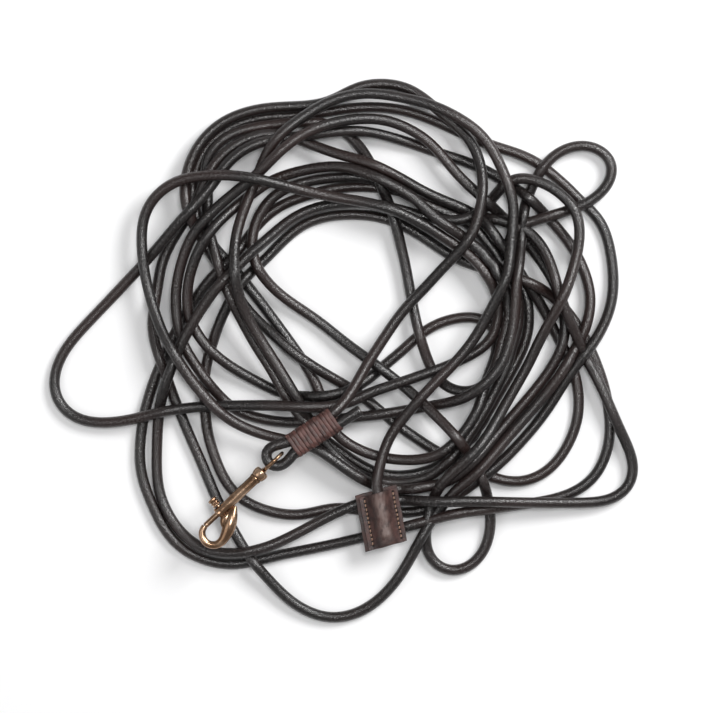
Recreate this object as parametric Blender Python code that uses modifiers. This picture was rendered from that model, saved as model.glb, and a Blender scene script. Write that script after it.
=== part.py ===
"""Training leash: one long round leather cord in a loose coil, with a bolt snap and a stitched end tab.

Run with: blender --background --python part.py
Metres, +Z up, +X to the right and +Y away as the coil is looked down on. The cord rests on z = 0.
"""

import math

import bmesh
import bpy
import numpy as np
from mathutils import Matrix, Vector

MM = 0.001
CENTRE = (-1.27, -0.12)  # mm, middle of the finished outline, moved to the origin
GAP = 0.3  # mm, kept between neighbouring pieces

# ---------------------------------------------------------------- driving dimensions, mm
CORD_D = 7.5
CORD_SIDES = 2  # bevel resolution: eight sides
CHORD_SAG = 0.7  # how far a chord of the tube may stand off the curve
CORD_CLEARANCE = 0.6  # added to the diameter where turns cross
SETTLE_STEP = 6.0
SETTLE_ROUNDS, SPREAD_ROUNDS, STACK_ROUNDS = 600, 150, 16
STACK_TOP = 40.0
LAYER_RISE = 5.0

SNAP_Z = 36.0  # height of the snap's axis
SNAP_ROOT = (-60.1, -86.5)  # where the barrel's axis starts, behind the collar
SNAP_ANGLE = math.radians(223.3)  # heading of the axis, from the eye to the hook
BOLT_R, BORE_R, BARREL_R = 2.2, 2.6, 3.7
STUD_T = 34.6

TAB_CENTRE = (26.5, -117.3)
TAB_ANGLE = math.radians(10.6)
TAB_LENGTH, TAB_WIDTH, LEATHER = 38.0, 27.5, 2.2
TAB_CORD_Z = 22.5

THONG_D, THONG_PITCH, THONG_TURNS = 2.6, 3.0, 11
WHIP_START, WHIP_END = (-35.2, -65.4), (-7.6, -47.6)
WHIP_SPREAD = 4.0  # half the distance between the two cords in the whipping

# The cord's tail and its eye, from the cut tail through the whipping and round the eye, at
# SNAP_Z. The first and last pairs lie in the whipping; t and u are the snap's own axes.
TAIL = ((10.5, -41.2), (-5.4, -51.1), (-20.0, -60.4), (-33.5, -69.0))
EYE_TU = (
    (-27.6, -5.9), (-24.4, -6.3), (-20.0, -6.3), (-16.2, -5.4), (-13.2, -3.2), (-11.8, 0.0),
    (-12.0, 3.4), (-13.8, 6.5), (-17.2, 8.2), (-21.4, 7.7), (-26.6, 5.2),
)
RISING = ((-38.8, -62.8), (-24.4, -53.6), (-9.9, -44.3), (-2.0, -37.2))

# The cord from the whipping to the end tab, a span at a time, in mm. Each span's number is its
# layer: where two spans cross, the higher one passes over.
SPANS = (
    # leaves the whipping and climbs the middle of the coil
    (9, (
        (8, -22), (18, -5), (30, 13), (42, 30), (55, 43), (70, 60), (83, 73), (91, 88), (95, 105),
        (96, 120), (93, 135), (87, 148), (75, 160), (60, 173), (50, 181), (38, 186), (20, 187),
        (6, 184),
    )),
    # outer turn, top left
    (6, (
        (-8, 176), (-25, 172), (-45, 171), (-62, 169), (-78, 164), (-90, 157), (-100, 147),
        (-107, 135), (-111, 122), (-112, 110), (-110, 98), (-104, 85), (-97, 74),
    )),
    # crosses the middle
    (3, (
        (-90, 62), (-83, 50), (-75, 38), (-65, 25), (-52, 13), (-40, 2), (-28, -7), (-12, -17),
        (0, -24), (15, -34), (27, -44), (38, -53), (50, -61), (62, -69), (75, -76), (88, -82),
    )),
    # right side
    (3, (
        (100, -87), (112, -91), (126, -91), (143, -83), (155, -68), (162, -52), (164, -35),
        (161, -15), (155, -1), (147, 14), (135, 37), (122, 53), (110, 65), (103, 76),
    )),
    # top
    (6, (
        (95, 92), (85, 98), (70, 104), (55, 110), (40, 118), (20, 128), (0, 136), (-20, 143),
        (-35, 149), (-52, 152), (-66, 149), (-79, 142), (-90, 132), (-97, 121),
    )),
    # left side, foot loop
    (4, (
        (-103, 106), (-112, 92), (-122, 76), (-129, 60), (-132, 40), (-135, 22), (-133, 5),
        (-127, -12), (-121, -30), (-115, -45), (-108, -62), (-100, -80), (-93, -97), (-88, -108),
        (-78, -126), (-65, -147), (-55, -158), (-42, -172), (-25, -183), (-8, -187), (12, -182),
        (28, -170), (40, -155), (50, -137), (61, -118), (71, -105), (80, -94), (90, -83),
    )),
    # right side
    (5, (
        (100, -72), (110, -60), (125, -43), (140, -27), (150, -15), (158, -3), (165, 8), (170, 22),
        (172, 38), (168, 55), (160, 72), (150, 85), (138, 98), (125, 110), (112, 119),
    )),
    # top
    (5, (
        (98, 127), (82, 134), (68, 138), (55, 143), (42, 147), (28, 151), (10, 154), (-8, 153),
        (-25, 151), (-42, 148), (-58, 146), (-72, 139), (-83, 130), (-90, 119),
    )),
    # long left loop and back through the middle
    (8, (
        (-98, 109), (-108, 98), (-120, 85), (-135, 68), (-150, 52), (-168, 33), (-185, 15),
        (-198, -2), (-204, -20), (-202, -33), (-190, -46), (-170, -50), (-150, -48), (-130, -43),
        (-100, -39), (-60, -38), (-25, -38), (-5, -36), (10, -31), (30, -25), (50, -18), (70, -11),
        (85, -4), (98, 4), (107, 14),
    )),
    # right side
    (4, (
        (112, 28), (111, 40),
    )),
    # upper left loop
    (8, (
        (107, 50), (101, 58), (90, 68), (78, 76), (62, 84), (45, 93), (25, 101), (0, 106),
        (-30, 112), (-70, 121), (-95, 122), (-115, 119), (-130, 110), (-140, 95), (-142, 78),
        (-141, 62), (-138, 45), (-133, 28), (-126, 10), (-118, -3), (-108, -18), (-97, -31),
        (-88, -42), (-75, -51), (-58, -58), (-42, -62), (-22, -67), (-5, -76), (10, -87),
        (24, -95),
    )),
    # inner right side
    (4, (
        (40, -97), (55, -95), (70, -92), (80, -88), (91, -80), (103, -66), (114, -54), (128, -38),
        (141, -20), (150, -2), (154, 15), (152, 32), (145, 50), (135, 66), (124, 80), (113, 92),
    )),
    # top
    (7, (
        (103, 101), (93, 110), (80, 122), (70, 134), (58, 147), (45, 155), (30, 161), (10, 162),
        (-15, 157), (-35, 147), (-50, 134), (-60, 124), (-70, 115), (-82, 105), (-92, 97),
        (-101, 88),
    )),
    # left side, then the middle
    (5, (
        (-108, 78), (-113, 65), (-117, 50), (-118, 35), (-117, 18), (-112, 2), (-105, -10),
        (-97, -22), (-87, -33), (-77, -41), (-60, -47), (-40, -50), (-22, -49), (0, -47),
        (20, -45), (40, -42), (62, -38), (80, -34), (92, -27), (103, -17),
    )),
    # right side
    (4, (
        (111, -5), (116, 12), (119, 30), (119, 48), (119, 66), (121, 84), (125, 99), (130, 112),
    )),
    # small loop at the top right
    (7, (
        (139, 129), (150, 139), (165, 144), (178, 141), (187, 132), (186, 121), (178, 110),
        (168, 103), (155, 98), (145, 95), (135, 91), (125, 89),
    )),
    # right side
    (3, (
        (116, 82), (115, 70), (120, 56), (126, 42), (129, 25), (127, 8), (121, -8), (113, -22),
        (105, -36), (96, -50), (85, -64),
    )),
    # foot of the coil
    (5, (
        (72, -77), (60, -83), (45, -87), (30, -87), (15, -83), (0, -75), (-15, -62),
    )),
    # left side
    (5, (
        (-28, -49), (-38, -37), (-45, -25), (-52, -12), (-62, 3), (-70, 18), (-78, 33), (-84, 47),
        (-91, 70), (-95, 85), (-97, 100), (-95, 115),
    )),
    # top left
    (4, (
        (-99, 125), (-96, 135), (-88, 146), (-76, 153), (-60, 157), (-45, 159), (-30, 160),
        (-12, 159),
    )),
    # straight down the middle
    (5, (
        (3, 151), (11, 142), (18, 131), (24, 118), (29, 107), (34, 94), (38, 78), (42, 62),
        (45, 45), (48, 30), (52, 12), (57, -3), (62, -15), (70, -24), (80, -28), (92, -27),
        (101, -20),
    )),
    # right side
    (4, (
        (107, -8), (110, 8), (114, 24), (114, 40), (109, 54),
    )),
    # top
    (6, (
        (101, 64), (90, 71), (78, 80), (65, 91), (55, 100), (45, 110), (30, 119), (15, 126),
        (-8, 129), (-30, 126), (-50, 120), (-62, 113), (-73, 105), (-84, 95), (-92, 85),
        (-100, 74),
    )),
    # left side, then the middle
    (5, (
        (-106, 60), (-110, 45), (-110, 30), (-106, 17), (-98, 5), (-88, -5), (-75, -14),
        (-60, -22), (-48, -28), (-35, -32), (-20, -33), (0, -31), (12, -23), (25, -12), (40, 0),
        (52, 11), (65, 19), (80, 23), (94, 23), (104, 17),
    )),
    # right side
    (4, (
        (107, 5), (103, -10), (97, -25), (94, -40), (90, -54),
    )),
    # foot of the coil
    (6, (
        (80, -66), (65, -73), (48, -76), (30, -75), (15, -71), (0, -63), (-12, -50),
    )),
    # crosses the middle
    (3, (
        (-16, -34), (-22, -20), (-32, -3), (-40, 8), (-50, 22), (-60, 35), (-70, 48), (-80, 60),
        (-91, 72), (-100, 86), (-106, 102), (-107, 116),
    )),
    # outer turn, top
    (5, (
        (-104, 128), (-99, 140), (-90, 150), (-78, 158), (-62, 163), (-45, 165), (-25, 166),
        (0, 170), (25, 171), (45, 168), (62, 162), (80, 154),
    )),
    # outermost right side
    (5, (
        (98, 146), (120, 139), (135, 132), (150, 120), (165, 105), (178, 93), (185, 75), (188, 55),
        (187, 35), (181, 18), (170, 0), (158, -15), (147, -33), (135, -50), (122, -65), (108, -79),
    )),
    # under the tab
    (3, (
        (94, -90), (80, -100), (66, -108), (54, -113), (40, -113), (26, -113),
    )),
    # left side
    (4, (
        (12, -112), (0, -110), (-14, -111), (-30, -115), (-50, -113), (-65, -108), (-77, -100),
        (-86, -87), (-92, -72), (-97, -55), (-98, -40), (-99, -25), (-97, -8), (-93, 5), (-88, 20),
        (-82, 32), (-75, 45), (-65, 56),
    )),
    # inner top
    (4, (
        (-54, 66), (-42, 80), (-30, 91), (-10, 97), (10, 97), (28, 93), (45, 86), (62, 75),
        (78, 65), (94, 59), (112, 54), (130, 47),
    )),
    # far right
    (4, (
        (146, 38), (158, 25), (168, 10), (176, -8), (182, -25), (185, -42), (186, -58), (182, -75),
        (175, -88), (162, -98), (145, -104), (120, -108), (90, -112), (70, -115), (55, -119),
        (42, -123),
    )),
    # outer foot and left side
    (3, (
        (15, -130), (-15, -137), (-40, -142), (-60, -146), (-78, -149), (-95, -147), (-112, -140),
        (-126, -125), (-135, -108), (-142, -90), (-144, -70), (-141, -45), (-137, -30),
        (-132, -15), (-125, 0), (-118, 15), (-105, 35), (-92, 51),
    )),
    # inner top
    (5, (
        (-80, 62), (-68, 80), (-57, 93), (-45, 102), (-30, 108), (-12, 113), (0, 115), (20, 115),
        (40, 112), (60, 105), (80, 98), (100, 93), (120, 88), (134, 78),
    )),
    # far right
    (5, (
        (143, 62), (148, 45), (153, 30), (160, 15), (168, -3), (178, -22), (188, -45), (197, -65),
        (202, -80), (199, -94), (188, -103), (170, -106), (130, -106), (90, -105), (60, -105),
        (40, -104),
    )),
    # foot and left side
    (5, (
        (25, -104), (12, -106), (-1, -111), (-12, -116), (-25, -123), (-45, -133), (-60, -139),
        (-78, -142), (-95, -140), (-112, -130), (-125, -113), (-131, -95), (-132, -75),
        (-130, -40), (-126, -25), (-120, -8), (-113, 8), (-100, 30), (-88, 48),
    )),
    # inner top
    (6, (
        (-78, 58), (-64, 70), (-46, 84), (-28, 95), (-10, 100), (10, 102), (28, 101), (48, 96),
        (66, 92), (84, 92), (98, 100), (108, 113),
    )),
    # right side
    (7, (
        (120, 121), (135, 118), (148, 112), (158, 103), (163, 90), (163, 75), (159, 58), (152, 38),
        (143, 21), (134, 4), (127, -10), (118, -26), (108, -42), (98, -56), (89, -67),
    )),
    # small loop at the foot
    (4, (
        (79, -77), (70, -88), (63, -100), (59, -114), (57, -128), (58, -141), (66, -151),
        (78, -154), (92, -147), (100, -133), (102, -118), (100, -104), (96, -90), (88, -75),
    )),
    # crosses the middle
    (6, (
        (80, -63), (72, -54), (60, -42), (45, -28), (30, -16), (18, -7), (8, 0), (-5, 10),
        (-20, 22), (-35, 32), (-48, 42), (-57, 52), (-63, 62), (-65, 75), (-63, 88), (-57, 100),
        (-48, 110),
    )),
    # inner top
    (5, (
        (-36, 116), (-20, 120), (0, 122), (20, 120), (38, 113), (56, 104), (74, 96), (90, 88),
        (101, 78), (108, 64),
    )),
    # right side
    (3, (
        (113, 48), (116, 34), (118, 18), (116, 2), (111, -14), (104, -30), (96, -45), (86, -60),
        (76, -74),
    )),
    # foot of the coil
    (4, (
        (66, -84), (52, -90), (38, -92), (22, -91), (6, -84), (-8, -72), (-19, -58), (-27, -45),
    )),
    # left side
    (7, (
        (-34, -32), (-45, -14), (-57, 5), (-70, 28), (-76, 50), (-77, 70), (-74, 88), (-68, 105),
        (-62, 120), (-57, 132), (-50, 145), (-40, 155), (-28, 164), (-15, 172),
    )),
    # over the top and down to the tab
    (10, (
        (0, 178), (20, 180), (40, 177), (60, 172), (80, 162), (96, 150), (107, 132), (115, 112),
        (119, 92), (119, 75), (115, 55), (106, 38), (97, 20), (86, 3), (72, -13), (57, -28),
        (40, -48), (30, -62), (25, -80),
    )),
)

INTO_TAB = ((22.1, -93.7), (23.0, -98.6), (24.8, -108.5), (26.7, -118.3), (28.3, -127.1))

COLORS = {
    "cord": ((0.030, 0.023, 0.022), 0.42, 0.0),
    "thong": ((0.150, 0.062, 0.050), 0.55, 0.0),
    "tab": ((0.075, 0.034, 0.030), 0.55, 0.0),
    "thread": ((0.40, 0.24, 0.15), 0.70, 0.0),
    "bronze": ((0.42, 0.25, 0.15), 0.35, 1.0),
    "steel": ((0.45, 0.44, 0.42), 0.30, 1.0),
}


# ---------------------------------------------------------------- the cord's route
def snap_point(t, u):
    """The plan point, in mm, t along the snap's axis and u to the thumb stud's side."""
    c, s = math.cos(SNAP_ANGLE), math.sin(SNAP_ANGLE)
    return SNAP_ROOT[0] + t * c + u * s, SNAP_ROOT[1] + t * s - u * c


def spline(points, step):
    """Points every step mm along the natural cubic spline through the given ones."""
    p = np.asarray(points, float)
    n = len(p)
    legs = np.linalg.norm(np.diff(p[:, :2], axis=0), axis=1)
    t = np.concatenate([[0.0], np.cumsum(np.sqrt(legs))])
    h = np.diff(t)
    inner = np.arange(1, n - 1)
    system = np.eye(n)
    system[inner, inner - 1] = h[:-1]
    system[inner, inner] = 2 * (h[:-1] + h[1:])
    system[inner, inner + 1] = h[1:]
    slope = np.diff(p, axis=0) / h[:, None]
    right = np.zeros_like(p)
    right[1:-1] = 6 * (slope[1:] - slope[:-1])
    bend = np.linalg.solve(system, right)
    u = np.linspace(0, t[-1], n * 24)
    k = np.clip(np.searchsorted(t, u, side="right") - 1, 0, n - 2)
    a, b, span = (t[k + 1] - u)[:, None], (u - t[k])[:, None], h[k][:, None]
    fine = (bend[k] * a**3 + bend[k + 1] * b**3) / (6 * span)
    fine += (p[k] / span - bend[k] * span / 6) * a + (p[k + 1] / span - bend[k + 1] * span / 6) * b
    along = np.concatenate([[0.0], np.cumsum(np.linalg.norm(np.diff(fine[:, :2], axis=0), axis=1))])
    even = np.linspace(0, along[-1], int(round(along[-1] / step)) + 1)
    return np.stack([np.interp(even, along, fine[:, axis]) for axis in range(p.shape[1])], axis=1)


def planned_route():
    """The whole cord before it settles, and which of its points are held where they are."""
    held = [(x, y, SNAP_Z) for x, y in TAIL]
    held += [(*snap_point(t, u), SNAP_Z) for t, u in EYE_TU]
    held += [(x, y, SNAP_Z) for x, y in RISING]
    free = [(x, y, CORD_D / 2 + LAYER_RISE * layer) for layer, span in SPANS for x, y in span]
    route = spline(held + free + [(x, y, TAB_CORD_Z) for x, y in INTO_TAB], SETTLE_STEP)
    flat = route[:, :2]
    rise = int(np.argmin(np.linalg.norm(flat - RISING[-2], axis=1)))
    tab = len(route) - 12
    tab += int(np.argmin(np.linalg.norm(flat[tab:] - INTO_TAB[0], axis=1)))
    fixed = np.zeros(len(route), bool)
    fixed[: rise + 1] = True
    fixed[tab:] = True
    route[: rise + 1, 2] = SNAP_Z
    route[tab:, 2] = TAB_CORD_Z
    return route, fixed, rise


def close_pairs(route):
    """Pairs of points of different turns that are near each other in plan."""
    first, second = [], []
    skip = int(4.2 * CORD_D / SETTLE_STEP)
    for index in range(len(route) - skip):
        reach = np.abs(route[index + skip :, :2] - route[index, :2]).max(axis=1)
        near = np.nonzero(reach < 1.5 * CORD_D)[0] + index + skip
        first.append(np.full(len(near), index))
        second.append(near)
    return np.concatenate(first), np.concatenate(second)


def crosses(route, i, j):
    """Whether the plan leg at point i cuts the one at point j."""
    if j + 1 >= len(route):
        return False
    (px, py), (qx, qy) = route[i, :2], route[j, :2]
    (rx, ry), (sx, sy) = route[i + 1, :2] - (px, py), route[j + 1, :2] - (qx, qy)
    area = rx * sy - ry * sx
    if abs(area) < 1e-9:
        return False
    t = ((qx - px) * sy - (qy - py) * sx) / area
    u = ((qx - px) * ry - (qy - py) * rx) / area
    return 0 <= t < 1 and 0 <= u < 1


def meetings(route, pairs):
    """Groups the pairs into meetings of two turns: each pair's group, and which groups cross."""
    index = {pair: number for number, pair in enumerate(zip(*(side.tolist() for side in pairs)))}
    group = np.full(len(index), -1)
    crossing = []
    for start, number in index.items():
        if group[number] >= 0:
            continue
        group[number] = len(crossing)
        crossing.append(False)
        ahead = [start]
        while ahead:
            i, j = ahead.pop()
            crossing[-1] = crossing[-1] or crosses(route, i, j)
            for near in ((i + a, j + b) for a in (-1, 0, 1) for b in (-1, 0, 1)):
                other = index.get(near)
                if other is not None and group[other] < 0:
                    group[other] = len(crossing) - 1
                    ahead.append(near)
    return group, np.array(crossing)


def spread(home, fixed, pairs, beside):
    """Moves turns that run side by side apart in plan, until they touch and no longer overlap."""
    first, second = pairs[0][beside], pairs[1][beside]
    flat, free = home[:, :2].copy(), (~fixed).astype(float)
    for _ in range(SPREAD_ROUNDS):
        apart = flat[second] - flat[first]
        gap = np.linalg.norm(apart, axis=1) + 1e-9
        short = np.maximum(CORD_D + CORD_CLEARANCE - gap, 0)[:, None]
        push = 0.25 * short * apart / gap[:, None]
        move = np.zeros_like(flat)
        np.add.at(move, first, -push)
        np.add.at(move, second, push)
        move = np.clip(move, -1.0, 1.0)
        curl = np.zeros_like(flat)
        curl[1:-1] = 0.5 * (flat[:-2] + flat[2:]) - flat[1:-1]
        stiff = np.zeros_like(flat)
        stiff[2:-2] = 0.5 * (curl[1:-3] + curl[3:-1]) - curl[2:-2]
        flat += (move - 0.3 * stiff + 0.04 * (home[:, :2] - flat)) * free[:, None]
    return flat


def under_tab(route):
    """Which points run below the end tab, where a turn has to lie low."""
    c, s = math.cos(TAB_ANGLE), math.sin(TAB_ANGLE)
    off = route[:, :2] - TAB_CENTRE
    x, y = off @ (c, s), off @ (-s, c)
    return (abs(x) < TAB_WIDTH / 2 + CORD_D) & (abs(y) < TAB_LENGTH / 2 + CORD_D)


def stacked(height, low, high, need):
    """Heights with every upper point raised clear of the ones below it, from the lowest up."""
    for _ in range(STACK_ROUNDS):
        np.maximum.at(height, high, height[low] + need)
    return np.minimum(height, STACK_TOP)


def settled_route():
    """The cord's centreline in mm, each turn let down onto what it crosses."""
    home, fixed, rise = planned_route()
    pairs = close_pairs(home)
    group, crossing = meetings(home, pairs)
    home[:, :2] = spread(home, fixed, pairs, ~crossing[group])
    first, second = pairs
    flat = np.hypot(*(home[second, :2] - home[first, :2]).T)
    wanted = np.full(len(first), CORD_D + CORD_CLEARANCE)
    wanted[(first < rise) | (second < rise)] += THONG_D
    wanted[fixed[second] & (second > rise)] += LEATHER + GAP
    need = np.sqrt(np.maximum(wanted**2 - np.maximum(flat - SETTLE_STEP / 4, 0) ** 2, 0))
    need[~crossing[group] & (flat > 0.8 * CORD_D)] = 0
    near = need > 0
    first, second, need, group = first[near], second[near], need[near], group[near]
    rank = np.where(fixed, 2 * STACK_TOP, home[:, 2])
    rises = rank[second] - rank[first]
    floor = CORD_D / 2
    height = np.where(fixed, home[:, 2], floor)
    low, high = np.where(rises > 0, first, second), np.where(rises > 0, second, first)
    height = np.where(fixed, height, stacked(height.copy(), low, high, need))
    top = np.where(under_tab(home), TAB_CORD_Z - CORD_D - LEATHER - 2.5 * GAP, STACK_TOP)
    over = np.bincount(group, rises)[group] > 0
    low, high = np.where(over, first, second), np.where(over, second, first)
    for turn in range(SETTLE_ROUNDS):
        height = np.maximum(height - 0.3 * (1 - turn / SETTLE_ROUNDS), floor)
        short = np.maximum(need - (height[high] - height[low]), 0)
        lift, press = np.zeros(len(height)), np.zeros(len(height))
        np.maximum.at(lift, high, short)
        np.maximum.at(press, low, short)
        height += 0.5 * lift - 0.5 * np.minimum(press, height - floor)
        height[1:-1] = 0.25 * height[:-2] + 0.5 * height[1:-1] + 0.25 * height[2:]
        height = np.where(fixed, home[:, 2], np.clip(height, floor, top))
    return np.column_stack([home[:, :2], height])


def thinned(points):
    """Leaves out points wherever the chords stay within CHORD_SAG of the curve."""
    kept, start = [0], 0
    while start < len(points) - 1:
        end = start + 1
        while end + 1 < len(points) and end - start < 6:
            chord = points[end + 1] - points[start]
            inner = points[start + 1 : end + 1] - points[start]
            along = inner @ chord / (chord @ chord)
            if np.linalg.norm(inner - along[:, None] * chord, axis=1).max() > CHORD_SAG:
                break
            end += 1
        kept.append(end)
        start = end
    return points[kept]


# ---------------------------------------------------------------- helpers
def material(name, key):
    color, roughness, metallic = COLORS[key]
    made = bpy.data.materials.new(name)
    made.use_nodes = True
    shader = made.node_tree.nodes["Principled BSDF"]
    shader.inputs["Base Color"].default_value = (*color, 1.0)
    shader.inputs["Roughness"].default_value = roughness
    shader.inputs["Metallic"].default_value = metallic
    return made


def put(obj, collection, frame, key):
    """Places an object by a frame matrix, gives it its own material and shades it."""
    collection.objects.link(obj)
    obj.matrix_world = frame
    if key is None:
        obj.hide_render = True
        obj.display_type = "WIRE"
    else:
        obj.data.materials.append(material(f"{obj.name}_{key}", key))
    return obj


def frame_at(location_mm, x_axis=(1, 0, 0), z_axis=(0, 0, 1)):
    """A placing matrix, its Z along z_axis and its X as near x_axis as it can be."""
    z = Vector(z_axis).normalized()
    x = (Vector(x_axis) - Vector(x_axis).dot(z) * z).normalized()
    rotation = Matrix((x, z.cross(x), z)).transposed().to_4x4()
    return Matrix.Translation(Vector(location_mm) * MM) @ rotation


def turned(name, profile, collection, frame, key, steps=24):
    """A solid turned about its own Z from (radius, height) pairs in mm, outer side first."""
    mesh = bpy.data.meshes.new(name)
    rim = [(r * MM, 0, z * MM) for r, z in profile]
    edges = [(i, i + 1) for i in range(len(rim) - 1)]
    if profile[0][0] > 0:
        edges.append((len(rim) - 1, 0))
    mesh.from_pydata(rim, edges, [])
    obj = bpy.data.objects.new(name, mesh)
    screw = obj.modifiers.new("turn", "SCREW")
    screw.steps = screw.render_steps = steps
    screw.use_merge_vertices = True
    screw.merge_threshold = 1e-6
    return put(obj, collection, frame, key)


def tube(name, points_mm, radius, collection, frame, key, sides=2, cyclic=False, radii=None):
    """A round tube of the given radius in mm along a poly line."""
    curve = bpy.data.curves.new(name, "CURVE")
    curve.dimensions = "3D"
    curve.bevel_depth = radius * MM
    curve.bevel_resolution = sides
    curve.use_fill_caps = not cyclic
    line = curve.splines.new("POLY")
    line.points.add(len(points_mm) - 1)
    flat = np.ones((len(points_mm), 4))
    flat[:, :3] = np.asarray(points_mm) * MM
    line.points.foreach_set("co", flat.ravel())
    if radii is not None:
        line.points.foreach_set("radius", np.asarray(radii, float) / radius)
    line.use_cyclic_u = cyclic
    return put(bpy.data.objects.new(name, curve), collection, frame, key)


def plate(name, outline_mm, thickness, collection, frame, key):
    """A flat outline in its own XY plane, extruded half its thickness each way."""
    curve = bpy.data.curves.new(name, "CURVE")
    curve.dimensions = "2D"
    curve.fill_mode = "BOTH"
    curve.extrude = thickness * MM / 2
    line = curve.splines.new("POLY")
    line.points.add(len(outline_mm) - 1)
    for point, (x, y) in zip(line.points, outline_mm):
        point.co = (x * MM, y * MM, 0, 1)
    line.use_cyclic_u = True
    return put(bpy.data.objects.new(name, curve), collection, frame, key)


def meshed(obj):
    """Replaces a curve object, or one with modifiers, by a welded mesh object in its place."""
    bpy.context.view_layer.update()
    graph = bpy.context.evaluated_depsgraph_get()
    mesh = bpy.data.meshes.new_from_object(obj.evaluated_get(graph))
    work = bmesh.new()
    work.from_mesh(mesh)
    bmesh.ops.remove_doubles(work, verts=work.verts, dist=1e-6)
    bmesh.ops.recalc_face_normals(work, faces=work.faces)
    work.to_mesh(mesh)
    work.free()
    made = bpy.data.objects.new(obj.name, mesh)
    collection, name, hidden = obj.users_collection[0], obj.name, obj.hide_render
    frame = obj.matrix_world.copy()
    bpy.data.objects.remove(obj)
    made.name = name
    collection.objects.link(made)
    made.matrix_world = frame
    made.hide_render = hidden
    if hidden:
        made.display_type = "WIRE"
    return made


def combine(obj, other, operation):
    cut = obj.modifiers.new(other.name, "BOOLEAN")
    cut.operation = operation
    cut.object = other
    cut.solver = "EXACT"


def arc(centre, radius, start, end, steps):
    """(x, y) points along an arc, its angles in degrees."""
    turn = np.radians(np.linspace(start, end, steps + 1))
    return [(centre[0] + radius * math.cos(a), centre[1] + radius * math.sin(a)) for a in turn]


def rounded_box(width, height, radius, steps=4):
    """A closed outline of a rectangle with round corners, centred on the origin."""
    x, y = width / 2 - radius, height / 2 - radius
    corners = ((x, y, 0), (-x, y, 90), (-x, -y, 180), (x, -y, 270))
    return [p for cx, cy, a in corners for p in arc((cx, cy), radius, a, a + 90, steps)]


def snap_frame(t=0.0, u=0.0, lift=0.0):
    """Frame on the snap's axis: Z along it towards the hook, X towards the thumb stud."""
    c, s = math.cos(SNAP_ANGLE), math.sin(SNAP_ANGLE)
    x, y = snap_point(t, u)
    return frame_at((x, y, SNAP_Z + lift), (s, -c, 0), (c, s, 0))


# ---------------------------------------------------------------- sub-parts
def make_cord(parts):
    points = thinned(settled_route())
    return tube("leather_cord", points, CORD_D / 2, parts, Matrix(), "cord", CORD_SIDES)


def make_whipping(parts):
    """The lashing: a flat-sided helix round the two cords."""
    start, end = Vector((*WHIP_START, SNAP_Z)), Vector((*WHIP_END, SNAP_Z))
    axis = (end - start).normalized()
    radius = CORD_D / 2 + 2 * GAP + THONG_D / 2
    per_turn = 18
    points = []
    for step in range(int(THONG_TURNS * per_turn) + 1):
        angle = 2 * math.pi * step / per_turn
        across = radius * math.cos(angle) + WHIP_SPREAD * math.copysign(
            min(1.0, 2.0 * abs(math.cos(angle))), math.cos(angle)
        )
        points.append((across, radius * math.sin(angle), THONG_PITCH * step / per_turn))
    place = frame_at(start, (axis.y, -axis.x, 0), axis)
    return tube("whipping_thong", points, THONG_D / 2, parts, place, "thong")


def make_swivel_eye(parts, cutters):
    """The flattened loop round the cord's eye, with the swivel stem and its riveted head."""
    turn = np.linspace(0, 2 * math.pi, 28, endpoint=False)
    loop = [(0, 6.6 * math.sin(a), -14.65 + 8.05 * math.cos(a)) for a in turn]
    eye = meshed(tube("swivel_eye", loop, 1.35, parts, snap_frame(), "bronze", cyclic=True))
    eye.data.materials.clear()
    eye.data.materials.append(material("swivel_eye_bronze", "bronze"))
    stem_profile = (
        (0, 0.5), (2.6, 0.5), (3.3, -0.1), (3.3, -1.2), (2.0, -1.3), (2.0, -6.4), (1.2, -7.0),
        (0, -7.2),
    )
    stem = turned("swivel_stem", stem_profile, cutters, snap_frame(), None)
    combine(eye, stem, "UNION")
    return eye


def make_snap_body(parts, cutters):
    """The bored barrel with its collar, and the hook that bends round to meet the bolt."""
    outer = (
        (BARREL_R, 39.0), (4.1, 38.6), (4.1, 37.4), (BARREL_R, 37.0), (BARREL_R, 3.4),
        (4.2, 3.2), (4.2, 2.4), (4.6, 1.8), (5.1, -0.4), (5.3, -2.6), (4.9, -4.2), (3.8, -4.9),
    )
    inner = (
        (2.35, -4.9), (2.35, -1.6), (3.7, -1.6), (3.7, 0.9), (1.1, 0.9), (1.1, 2.1),
        (BORE_R, 2.1), (BORE_R, 39.0),
    )
    body = meshed(turned("snap_body", outer + inner, parts, snap_frame(), "bronze"))
    body.data.materials.clear()
    body.data.materials.append(material("snap_body_bronze", "bronze"))
    hook_line = (
        (26.0, -4.6, 1.3), (30.5, -7.2, 3.0), (35.0, -9.8, 4.2), (39.7, -12.4, 4.4),
        (45.0, -14.7, 3.7), (51.0, -15.7, 2.9), (55.8, -13.4, 2.6), (58.0, -8.8, 2.6),
        (57.0, -4.2, 2.5), (54.3, -1.2, 2.3), (51.1, 0.0, 2.1),
    )
    line = spline([(u, t, r) for t, u, r in hook_line], 2.2)
    centre = [(u, 0.0, t) for u, t, _ in line]
    hook = tube("hook", centre, 1.0, cutters, snap_frame(), None, 3, radii=line[:, 2])
    combine(body, meshed(hook), "UNION")
    slot_start, slot_end = STUD_T - 10.6, STUD_T + 1.6
    outline = rounded_box(slot_end - slot_start, 2.9, 1.4)
    place = snap_frame() @ Matrix.Translation((0.0042, 0, (slot_start + slot_end) / 2 * MM))
    place = place @ Matrix(((0, 0, 1), (0, 1, 0), (-1, 0, 0))).to_4x4()
    slot = plate("slot", outline, 5.0, cutters, place, None)
    combine(body, meshed(slot), "DIFFERENCE")
    return body


def make_bolt(parts):
    """The sliding bolt: a rod with a guide shoulder that the spring pushes on."""
    profile = (
        (0, 50.8), (1.5, 50.6), (2.0, 49.9), (2.0, 37.6), (BOLT_R, 37.2), (BOLT_R, 17.0), (0, 17.0),
    )
    return turned("snap_bolt", profile, parts, snap_frame(), "steel", 20)


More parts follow.
